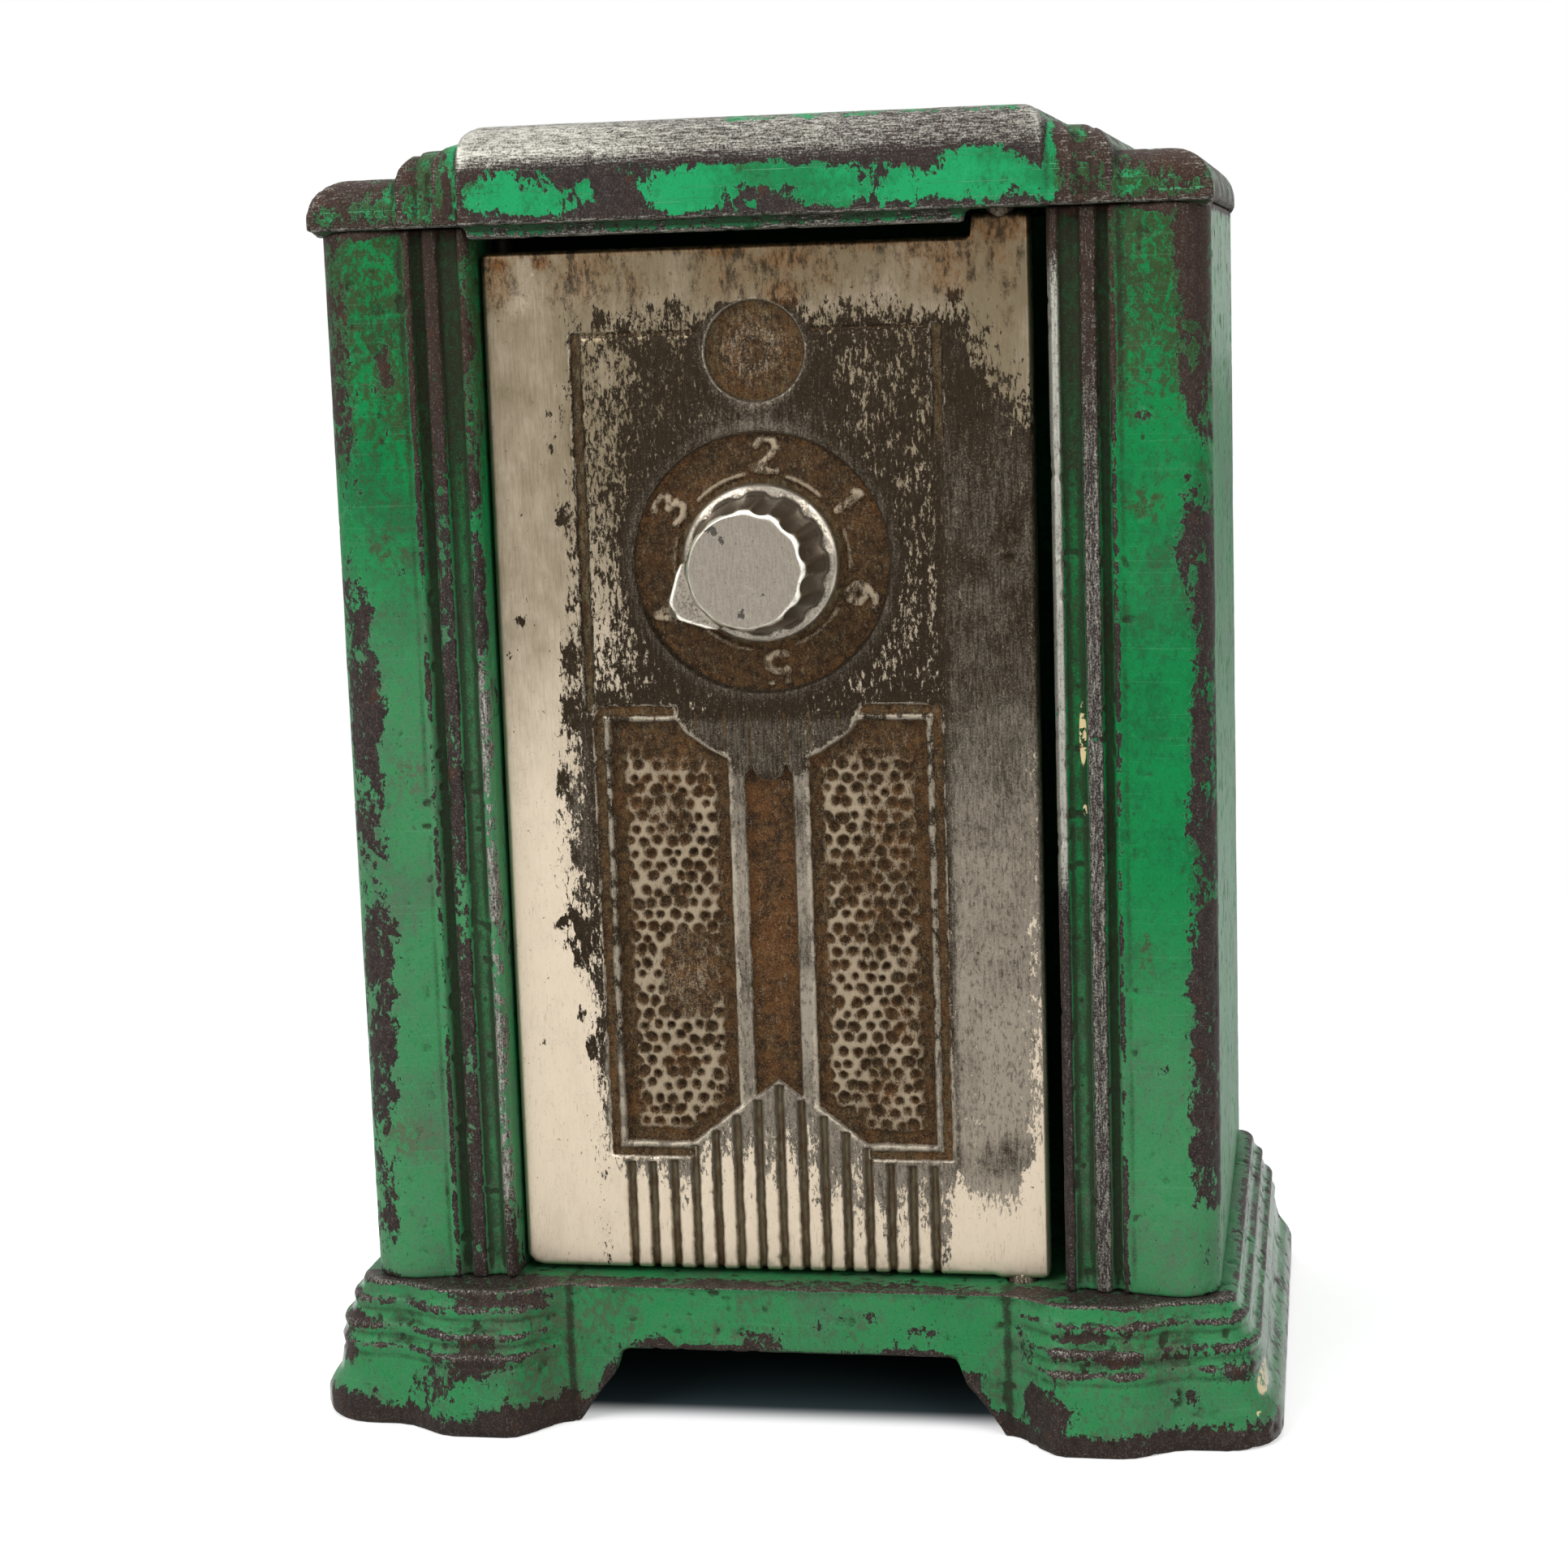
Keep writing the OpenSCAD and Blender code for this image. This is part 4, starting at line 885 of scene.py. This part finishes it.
def medalRelief(x, z, look, layers):
    # a plain worn disc
    radius = np.hypot(x, z - look["z"])
    toEdge = radius - look["radius"]
    dome = 0.3*below(radius, 2.4, 1.2) - 0.16*below(radius, 0.7, 0.5) + 0.1*near(radius, 1.35, 0.35)
    most(layers, depth=sunk(toEdge, look["depth"], 0.3) - dome*(toEdge < 0), rust=sunk(toEdge + 0.1, 0.95, 0.4),
         net=0.2*below(radius, 2.8, 1.0) + 0.12*near(radius, 1.75, 0.6, 0.2),
         olive=0.46*above(radius, 1.8, 1.6)*(toEdge < 0), edge=0.85*rimOf(toEdge, 0.12))
    return radius


def doorRelief(x, z, look):
    # depth below the face and the masks that follow the pattern, with painted highlight lines along the
    # relief's edges in the edge mask
    layers = {name: np.zeros(x.shape) for name in ("depth", "rust", "net", "edge", "steel", "olive")}
    across = np.abs(x)
    noise = lambda *kind: faceNoise(x, z, *kind)
    jitter = noise(1.0, 3, 47) - 0.5
    ragged = above(noise(0.9, 2, 51), 0.3, 0.3)
    dialFar = dialRelief(x, z, look["dial"], layers)
    medalFar = medalRelief(x, z, look["medal"], layers)
    # frame of the upper half: its right side is worn away below
    edging = look["frame"]
    line = 0.35*jitter + boxDistance(across, z, edging["x"] - edging["half"], edging["x"] + edging["half"],
                                     edging["bottom"], edging["top"])
    worn = np.where(x > 0, 0.25 + 0.75*above(z, edging["fades"] - 1.2, 1.6), 1.0)
    lined = sunk(line, 1.0, 0.3)*worn
    most(layers, depth=edging["depth"]*lined, rust=0.44*lined, olive=0.56*lined,
         edge=rimOf(line)*worn*(0.25 + 0.4*ragged))
    top = boxDistance(across, z, edging["topFrom"], edging["x"], edging["top"] - edging["topHeight"],
                      edging["top"])
    inner = boxDistance(across, z, -1, *edging["innerLine"])
    most(layers, depth=sunk(top, 0.26, 0.25), rust=sunk(top, 0.5, 0.25),
         edge=ragged*np.maximum(0.35*rimOf(top + 0.1), 0.55*rimOf(inner, 0.12)*(z < 88)*(z > 65.3)))
    # border grooves of the panels, past a narrow land
    panel = look["panel"]
    low, high = panel["ends"]
    outer = boxDistance(across, z, panel["from"], panel["outer"], low, high)
    land = boxDistance(across, z, -1, panel["outer"] - panel["land"], low + panel["land"], high - panel["land"])
    border = np.maximum(outer, -land) + 0.22*jitter
    most(layers, depth=sunk(border, panel["border"], 0.28), rust=sunk(border, 0.85, 0.4),
         olive=0.45*sunk(border, 1.0, 0.3), edge=rimOf(border, 0.14)*(0.42 + 0.45*ragged))
    # hammered fields, with a worn patch at the lower left
    field = outlineDistance(across, z, panel["corners"]) + 0.2*jitter
    pits = look["pits"]
    bentX, bentZ = x + 0.55*(noise(2.2, 2, 63) - 0.5), z + 0.55*(noise(2.2, 2, 65) - 0.5)
    left, right = (pitDistance(bentX, bentZ, pits["spacing"], seed) for seed in (57, 91))
    holes = 0.06 + np.where(x < 0, left, right) + 0.3*jitter - pits["radius"]
    centre = soft((-field - pits["margin"])/0.9)
    shifting = noise(4.5, 2, 61)
    uneven = noise(1.6, 3, 67) - 0.5
    (patchX, patchZ), (halfX, halfZ) = pits["patchAt"], pits["patchSize"]
    patch = below(np.hypot((x - patchX)/halfX, (z - patchZ)/halfZ), 0.75, 0.4)
    faded = centre*(0.72 + 0.28*above(shifting, 0.28, 0.35))*(1 - 0.85*patch)*(1 - above(z, 58.5, 2.5)*0.75)
    lift = pits["height"]*(centre*0.45 + faded*0.55)*(1 + 0.8*uneven)
    lift = lift*(1 - below(holes, 0, pits["wall"])*(1 - patch))
    inField = sunk(field - 0.02, 1.0, 0.25)
    net = faded*above(holes, 0.12, 0.5)*(0.98 + 0.7*uneven + 0.6*(shifting - 0.5))
    most(layers, depth=sunk(field, panel["depth"], 0.35) - lift*(field < 0), rust=inField*(1 - 0.35*patch),
         net=inField*np.maximum(net, patch*(0.2 + 0.5*uneven)), olive=inField*0.34*(1 - 0.5*patch),
         edge=0.85*near(field, 0.25, 0.2, 0.17)*(0.46 + 0.5*ragged))
    pitted = inField*centre*(1 - patch)*below(holes, -0.06, 0.3)
    # crest: worn fingers parted by fine lines
    crest = look["crest"]
    fromCrest = z - crest["z"]
    sideX, sideR = crest["sideLobe"]
    lobes = np.minimum(np.hypot(x, fromCrest) - crest["lobe"], np.hypot(across - sideX, fromCrest) - sideR)
    most(layers, edge=0.8*below(strokeDistance(across, z, panel["crestLine"]), 0.07, 0.16))
    for lineX, foot in crest["lines"]:
        finger = boxDistance(across, z, lineX - 0.15, lineX + 0.15, foot, 64.0) + 0.15*jitter
        most(layers, depth=sunk(finger, crest["depth"], 0.25), rust=sunk(finger, 0.6, 0.3),
             edge=0.42*rimOf(finger - 0.15, 0.3)*ragged, olive=0.6*sunk(finger, 1.0, 0.3))
    # channel with low strips beside it
    ribs = look["ribs"]
    ribTop = lambda at: ribs["foot"] + ribs["rise"]*np.clip(1 - np.abs(at)/ribs["run"], 0, 1)
    between = np.maximum(fromCrest, ribTop(x) + 0.5 - z)
    middle, side = look["channel"], look["strip"]
    channel = strongest(across - middle, between, -lobes)
    strips = strongest(np.abs(across - (middle + side)/2) - (side - middle)/2, between, -lobes)
    most(layers, depth=strongest(sunk(channel, panel["depth"], 0.4), sunk(strips, 0.2, 0.25)*(field > 0)),
         rust=sunk(channel, 1.0, 0.3), edge=0.7*rimOf(channel)*(0.4 + 0.6*ragged),
         steel=sunk(strips, 1.0, 0.3)*(0.66 + 1.1*(noise(4.0, 3, 59) - 0.5)))
    most(layers, edge=0.6*near(lobes, -0.05, 0.16, 0.06)*(fromCrest < 0.3),
         steel=0.27*soft(4.6 - fromCrest)*soft(fromCrest + 1.5)*above(field, 0.3, 0.4)*(across < 8.6))
    # upright grooves of the foot
    place = np.clip(np.round(x/ribs["pitch"]), -(ribs["count"]//2), ribs["count"]//2)*ribs["pitch"]
    groove = np.maximum(np.abs(x - place) - ribs["half"] + 0.2*jitter, z - ribTop(place))
    grooved = sunk(groove, 1.0, 0.3)
    most(layers, depth=sunk(groove, ribs["depth"], 0.34), rust=0.26*grooved, olive=0.98*grooved,
         edge=0.45*rimOf(groove)*soft((30 - z)/4)*ragged)
    pitted = np.maximum(pitted, 0.6*soft((look["dial"]["radius"] - 0.3 - dialFar)/0.4))
    return layers, pitted, dialFar, medalFar, np.maximum(grooved, lined)


# borders of the plating as x and z pairs, and spots as on the base
plating = {
    "leftEdge": [
        (28, -15.6), (36, -16), (43, -16.8), (50, -17.4), (64, -17), (80, -16.4), (96, -15.9),
    ],  # z, x
    "rightTop": [(15.8, 101.0), (17.0, 99.0), (18.5, 96.0), (20.0, 93.0), (22.0, 90.5), (23.6, 88.5)],
    "padTop": [(15.8, 23.5), (17.0, 20.8), (19.0, 19.6), (21.0, 21.5), (22.3, 25.0), (23.6, 29.0)],
    "footTop": [
        (-15.6, 24.5), (-12, 23.5), (-8, 24), (-4, 24), (0, 24), (3, 23), (6, 21), (10, 19), (15.6, 19.5),
    ],
    "kept": [
        (-13, 93.5, 4.5, 4.5, 0.66), (11.5, 93, 4.5, 5.5, 0.42), (8.5, 88.5, 5.5, 5.5, 0.36),
        (12.5, 74, 3.6, 12, 0.4), (10, 67.5, 6.5, 3.6, 0.38), (-11.5, 68, 5, 5, 0.42),
        (17.4, 27, 1.6, 6, 0.42), (22.8, 44, 1.2, 7, 0.52), (17.2, 45, 1, 8, 0.22),
    ],
    "chips": [
        (-17.6, 89.8, 0.9, 1.6, 0.8), (-17.9, 87.3, 0.8, 1.3, 0.7), (-17.5, 80.7, 1.1, 1.5, 0.8),
        (-17.9, 72.9, 0.9, 2, 0.8), (-17.3, 68.4, 0.9, 2.2, 0.8), (-17.4, 63.9, 0.9, 2, 0.8),
        (-18.2, 57.5, 0.9, 2.2, 0.8), (-17.4, 52.5, 0.8, 2, 0.8), (-18.7, 45.2, 1.3, 1.3, 1.1),
        (-17.6, 43.4, 1.4, 3, 1.1), (-18.1, 36.6, 0.9, 1.6, 1), (-17.2, 33.4, 0.9, 2, 1),
        (-20.9, 34.3, 0.7, 0.8, 0.9), (-16.6, 21.8, 0.6, 0.6, 0.8), (-21.5, 72, 0.8, 0.9, 1),
        (-22.6, 69, 0.5, 0.5, 0.9), (-21.8, 80, 0.6, 0.9, 0.6), (-13.5, 98, 1, 1.2, 0.6),
        (-9.5, 98.2, 1.3, 1.3, 0.6), (-6.5, 98.8, 1.2, 1.2, 0.6), (17.2, 98.9, 1.2, 0.8, 0.5),
        (19.6, 24.8, 2.2, 2.4, 0.8), (21.6, 22.2, 1.3, 1.8, 0.8), (17.4, 17.8, 0.7, 1.3, 0.7),
        (21.6, 79, 0.9, 1.2, 0.9), (21.4, 76.8, 0.6, 0.8, 0.8),
    ],
    "steel": [(0, 88.8, 8, 2.2, 1), (-17, 55, 1.5, 9, 1)],
    "dark": [
        (20.2, 23.8, 5.2, 2.4, 0.55), (21.6, 25.4, 2.2, 1.6, 0.4), (17.2, 31, 1.6, 7, 0.3),
        (22.4, 33, 1.4, 5, 0.22), (20.5, 41, 2.5, 4, 0.14),
    ],
    "tan": [(0, 102, 16, 3, 0.3), (21, 100, 3.5, 5, 0.4), (-20, 17, 4, 4, 0.12)],
    "stain": [
        (-22, 102.8, 1.6, 1, 0.8), (-18.3, 102.8, 1.3, 1.1, 0.75), (-14.4, 100.8, 2.2, 1.2, 0.4),
        (-2.2, 103.3, 4.5, 1.2, 0.6), (3, 102.4, 6, 2.4, 0.55), (2.6, 99.8, 4, 2.4, 0.55),
        (10, 103.2, 4, 1, 0.5), (21.2, 102.2, 3.2, 2.4, 0.5), (21.4, 97, 2.2, 3.4, 0.3),
    ],
}


def doorPlating(x, z, dialFar, medalFar, look):
    # how much plating is left: 0.5 keeps half of it, and it thins out over a few mm
    spots = {name: blotches(x, z, look[name]) for name in ("kept", "chips", "steel", "dark", "tan", "stain")}
    border = lambda name, at: np.interp(at, *zip(*look[name]))
    across = np.abs(x)
    ragged = faceNoise(x, z, 4.0, 3, 83, 0.4) - 0.5
    torn = faceNoise(x, z, 1.8, 3, 85, 0.7) - 0.5
    streaked = faceNoise(x, z, 1.3, 3, 93, 0.22) - 0.5
    ramp = lambda inside, width: np.clip(0.5 + (inside + 3.0*ragged + 2.0*torn)/width, 0, 1)
    margin = ramp(border("leftEdge", z) - x, 4.5)
    crown = ramp(z - 97.6 + 0.03*np.abs(x - 2), 7.5)
    inner = 0.56*below(x, -15.5, 11.5)*above(z, 64, 3)
    inner = np.maximum(inner, 0.36*above(x, 1.0, 8)*above(z, 64, 2)*(x < 15.2)) + 0.16*torn*(z > 64)
    right = ramp(z - border("rightTop", x), 15.0)*above(x, 15.6, 0.8)
    rightEdge = (0.34 + 0.3*below(z, 26, 22))*above(x, 20.8, 2.4)*(z < 62)
    # lower right pad with a ragged upper border, and the lands of the foot
    pad = ramp(border("padTop", x) - z + 2.5*torn, 6.0)*(x > 15.7)
    foot = border("footTop", x) - z + 3.0*ragged + 3.0*torn + 11.0*streaked
    foot = np.clip(0.5 + foot/13.0, 0, 1)*(across < 15.7)
    # a few flecks are left everywhere
    flecks = np.where(x > 15.8, 0.12 + 0.1*below(z, 26, 26), 0.19 + 0.2*ragged + 0.05*(z > 64))
    flecks = flecks*(1 - 0.8*soft((9 - across)/4)*(z < 64))
    plate = strongest(margin, crown, inner, right, rightEdge, pad, foot, flecks, spots["kept"])
    chips = spots["chips"]*soft(0.66 + 5.0*(faceNoise(x, z, 0.8, 3, 87, 0.5) - 0.5))
    halo = np.maximum(below(dialFar, 11.4, 1.5), below(medalFar, 4.4, 1.3))
    lower = below(z, 24, 50)
    steel = 0.05 + 0.08*(z < 63) + above(x, 15.3, 1.2)*soft((92 - z)/8)*(0.17 + 0.66*lower)
    steel = np.maximum(steel, 0.24*halo) + 0.2*spots["steel"] - 0.5*chips - spots["dark"]
    steel = steel + 0.44*near(z, 24, 3, 8)*(across < 15.6) + 0.36*torn*(x > 15.8)
    tan = 0.08 + 0.74*above(z, 34, 62) + spots["tan"] + 0.35*ragged + 0.35*torn*above(z, 60, 40)
    stain = strongest(spots["stain"], 0.55*above(z, 102.5, 1.2), (0.33 + 0.8*ragged)*above(z, 96.5, 4))
    return {"plate": plate*(1 - 0.8*halo*(z < 99)) - 0.9*chips, "steel": steel, "tan": tan, "stain": stain}


def makeDoor(look, finish):
    pitch = look["pitch"]*coarserGrid
    upper, lower = np.array(look["upper"]).T, np.array(look["lower"]).T
    left, right, bottom, top = upper[0][0], upper[0][-1], lower[1].min(), upper[1].max()
    columns, rows = (int(round(length/pitch)) + 1 for length in (right - left, top - bottom))
    foot, head = look["rows"]
    x, z = np.meshgrid(np.linspace(left, right, columns), np.linspace(foot, head, rows))
    # rows bend to the rounded corners and the ears
    topHere, bottomHere = np.interp(x, *upper), np.interp(x, *lower)
    z = z + (bottomHere - foot)*below(z, foot, 4) + (topHere - head)*(1 - soft((head - z)/4))
    layers, pitted, dialFar, medalFar, grooved = doorRelief(x, z, look)
    toEdge = strongest(left - x, x - right, bottomHere - z, z - topHere)
    reach = np.clip(look["rim"] + toEdge, 0, look["rim"])
    depth = layers.pop("depth") + look["rim"] - np.sqrt(look["rim"]**2 - reach**2)
    # cast surface: grain in the rust, a slow wave, pinholes
    depth += 0.05*(faceNoise(x, z, 1.3, 3, 71) - 0.5)*(0.3 + 1.9*layers["rust"])
    depth += 0.08*soft(faceNoise(x, z, 14, 2, 73))
    for holeX, holeZ, radius in look["pinholes"]:
        depth += 0.25*below(np.hypot(x - holeX, z - holeZ), radius*0.5, radius*0.7)
    front = np.stack([x + look["middle"], look["face"] + np.clip(depth, 0, 1.9), z], -1).reshape(-1, 3)
    index = np.arange(columns*rows).reshape(rows, columns)
    faces = np.stack([index[:-1, :-1], index[:-1, 1:], index[1:, 1:], index[1:, :-1]], -1)
    faces = faces.reshape(-1, 4).tolist()
    # rings of points round the edge and the back
    loop = np.concatenate([index[0, :], index[1:, -1], index[-1, -2::-1], index[-2:0:-1, 0]])
    points, previous, start = [front], loop, len(front)
    for inset, y in look["rings"]:
        ring = front[loop].copy()
        ring[:, 1] = y
        fromMiddle = ring[:, [0, 2]] - (look["middle"], (bottom + top)/2)
        ring[:, [0, 2]] -= inset*fromMiddle/np.abs(fromMiddle).max(0)
        here = np.arange(start, start + len(loop))
        faces += np.stack([previous, here, np.roll(here, -1), np.roll(previous, -1)], -1).tolist()
        points.append(ring)
        previous, start = here, start + len(loop)
    faces.append(previous.tolist())
    piece = newMeshObject("doorCasting", np.concatenate(points)*mm, faces)
    masks = dict(layers, hollow=pitted, **doorPlating(x, z, dialFar, medalFar, plating))
    masks["steel"] = np.maximum(masks["steel"], layers["steel"])
    masks["plate"] = masks["plate"] - 0.9*grooved
    masks["warm"] = near(x, 0, 0.3, 2.0)*above(z, 32, 10)*below(z, 56, 3)
    behind = np.ones(len(piece.data.vertices) - x.size)
    setMasks(piece.data, **{name: np.concatenate([values.ravel(), behind*look["elsewhere"].get(name, 0)])
                            for name, values in masks.items()})
    pintles = [makePintle(look["pintles"], span, look["elsewhere"]) for span in look["pintles"]["spans"]]
    finishPiece(piece, look, "door", finish, "door", pintles)


def makePintle(look, span, rest):
    # round pin with softened ends
    low, high = span
    profile = [(low, 0.0), (low, 0.7), (low, 0.9), (low + 0.15, 1.0),
               (high - 0.15, 1.0), (high, 0.9), (high, 0.0)]
    count = 48
    px, py = look["at"]
    points = [(px + look["radius"]*share*math.cos(a), py + look["radius"]*share*math.sin(a), z)
              for z, share in profile for a in np.linspace(0, 2*math.pi, count, endpoint=False)]
    faces = [(k + j, k + (j + 1) % count, k + count + (j + 1) % count, k + count + j)
             for k in range(0, (len(profile) - 1)*count, count) for j in range(count)]
    pin = newMeshObject("pintle", np.array(points)*mm, faces)
    merge = pin.modifiers.new("merge", "WELD")
    merge.merge_threshold = 0.01*mm
    applyModifiers(pin)
    smoothShade(pin.data)
    setMasks(pin.data, **{name: np.full(len(pin.data.vertices), value) for name, value in rest.items()})
    return pin


# fluted knob with its pointer
knob = {
    "voxel": 0.14, "soften": 9, "lumps": 0.02, "pits": 0.02, "faces": 120000,
    "grip": [4.75, 5.05, 5.85],  # mean radius at the top, below its edge and at the skirt
    "pointer": -152, "fluted": 25,  # degrees
    # dark spots of the top, from the knob's middle
    "spots": [
        (-2.6, 3.3, 0.8, 0.5, 0.62), (-1.8, 2.7, 0.6, 0.7, 0.55), (-0.4, -3.6, 0.5, 0.8, 0.62),
        (0.9, 2.4, 0.4, 0.4, 0.4), (-3, -2.8, 0.4, 0.4, 0.42), (0.2, 0.3, 1.4, 0.4, 0.25),
        (1.5, -2.2, 0.4, 0.5, 0.4), (-2.2, -0.6, 0.3, 0.3, 0.45),
    ],
}


def makeKnob(look, finish):
    piece, p, n = castPiece("dial_knob", "dialKnobNickel", look)
    x, y, z = p.T
    dx, dz = x - door["middle"], z - door["dial"]["z"]
    radius, angle = np.hypot(dx, dz), np.degrees(np.arctan2(dz, dx))
    away = lambda at: np.abs((angle - at + 180) % 360 - 180)
    # flutes worn flat away from the side that still shows them, and a shortened pointer
    plain = np.interp(y, [-29.6, -29.25, -23.6], look["grip"])
    pointer = below(away(look["pointer"]), 32, 6)
    onGrip = soft((-23.9 - y)/0.4)*near(radius, plain, 0.3, 0.5)*(1 - pointer*above(y, -28.6, 0.6))
    scaled = radius + (plain - radius)*onGrip*(0.35 + 0.55*above(away(look["fluted"]), 50, 40))
    scaled -= 0.3*np.maximum(radius - 6.2, 0)*pointer*(y < -22.9)
    setPoints(piece.data, (p + np.stack([dx, 0*y, dz], 1)*(scaled/np.maximum(radius, 0.01) - 1)[:, None])*mm)
    side = above(radius, 5.2, 0.6)*above(y, -29.2, 0.6)
    skirt = above(y, -23.4, 0.5)*below(radius, 6.6, 0.2)
    setMasks(piece.data, soot=0.3*side*below(y, -23.6, 0.8) + 0.28*skirt + 0.14*side,
             spots=blotches(dx, dz, look["spots"])*(y < -29))
    finishPiece(piece, look, "dial", finish, "dial_knob")


print("making the materials")
greenEnamel = makeEnamel("chippedEnamel", enamel)
scratchedEnamel = makeEnamel("scratchedEnamel", capEnamel)
wornNickel = makeNickel("wornNickel", nickel)
brightNickel = makeKnobNickel("knobNickel", knobNickel)
print("making the pieces")
makeBase(base, greenEnamel)
makeCap(cap, scratchedEnamel)
makeSide("left_side", sides, sides["left"], greenEnamel)
makeSide("right_side", sides, sides["right"], greenEnamel)
makeDoor(door, wornNickel)
makeKnob(knob, brightNickel)


def refinish(node, material):
    # the lock, the screws and the back plate keep their CAD shape
    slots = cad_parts[node].data.materials
    if not len(slots):
        slots.append(material)
    for k in range(len(slots)):
        slots[k] = material


print("finishing the lock, the screws and the back plate")
refinish("back_plate", greenEnamel)
for slot, look in plainMetals.items():
    plainMetal = makePlainMetal(slot, look)
    for node in look["nodes"]:
        refinish(node, plainMetal)


# studio: pale floor that keeps the shadow, soft light from a wide tent
studio = {
    "floor": (0.86, 0.86, 0.86),
    "floorSize": 3.0,  # half of it, in metres
    "sky": 0.36,
    "lamps": [  # place in mm, size in mm, watts, aims at the middle of the bank
        {"place": (-330, -400, 400), "size": (420, 420), "power": 2.6},
        {"place": (330, -380, 330), "size": (320, 420), "power": 1.3},
        {"place": (0, 60, 560), "size": (460, 360), "power": 1.2},
    ],
    "aim": (0, 0, 55),
    "glow": 0.42,  # lifts the floor to white for the camera
    "shade": (37.4, 22.0, 2.4),  # half sizes of the painted shadow under the base, a dark patch in the floor's own colour, and its soft border
    "shadeColour": (0.05, 0.075, 0.085),
    "whiteFrom": (95, 240),  # distances between which the far floor turns white
}


def makeFloor(look):
    size = look["floorSize"]
    corners = [(-size, -size, 0), (size, -size, 0), (size, size, 0), (-size, size, 0)]
    floor = newMeshObject("floor", corners, [(0, 1, 2, 3)])
    f = newFinish("floorPaper", look)
    seen = f.add("LightPath", output="Is Camera Ray")
    across, along = (f.calc("ABSOLUTE", f.add("SeparateXYZ", {0: f.place}, axis)) for axis in ("X", "Y"))
    halfX, halfY, border = look["shade"]
    outside = (across - halfX).most(along - halfY).step(-border, border)
    far = f.add("VectorMath", {0: f.place}, "Value", operation="LENGTH").step(*look["whiteFrom"])
    # painted shadow: the floor's colour turns dark under the base
    paper = f.add("BsdfDiffuse", {"Color": f.mix(outside, "shadeColour", "floor")})
    glow = f.add("Emission", {"Strength": seen*outside*look["glow"]})
    lit = f.add("AddShader", {0: paper, 1: glow})
    white = f.add("Emission", {"Strength": 1.0})
    f.output(f.add("MixShader", {0: seen*far, 1: lit, 2: white}))
    floor.data.materials.append(f.owner)


def makeSky(look):
    bpy.context.scene.world = bpy.data.worlds.new("tent")
    f = Finish(bpy.context.scene.world, look)
    # white to the camera and in metal and glass, dimmer as a light
    camera, glossy, through = (f.add("LightPath", output="Is " + ray + " Ray") for ray in
                               ("Camera", "Glossy", "Transmission"))
    sky, white = (f.add("Background", {"Color": (1, 1, 1, 1), "Strength": level})
                  for level in (look["sky"], 1.0))
    f.output(f.add("MixShader", {0: camera.most(glossy).most(through), 1: sky, 2: white}))


def makeLamps(look):
    for k, lamp in enumerate(look["lamps"]):
        data = bpy.data.lights.new(f"softbox{k + 1}", "AREA")
        data.shape = "RECTANGLE"
        data.size, data.size_y = (length*mm for length in lamp["size"])
        data.energy = lamp["power"]
        light = linked(data.name, data)
        light.location = [value*mm for value in lamp["place"]]
        toAim = Vector([value*mm for value in look["aim"]]) - light.location
        light.rotation_euler = toAim.to_track_quat("-Z", "Y").to_euler()


print("making the studio")
makeFloor(studio)
makeSky(studio)
makeLamps(studio)
bpy.context.scene.view_settings.view_transform = "Standard"
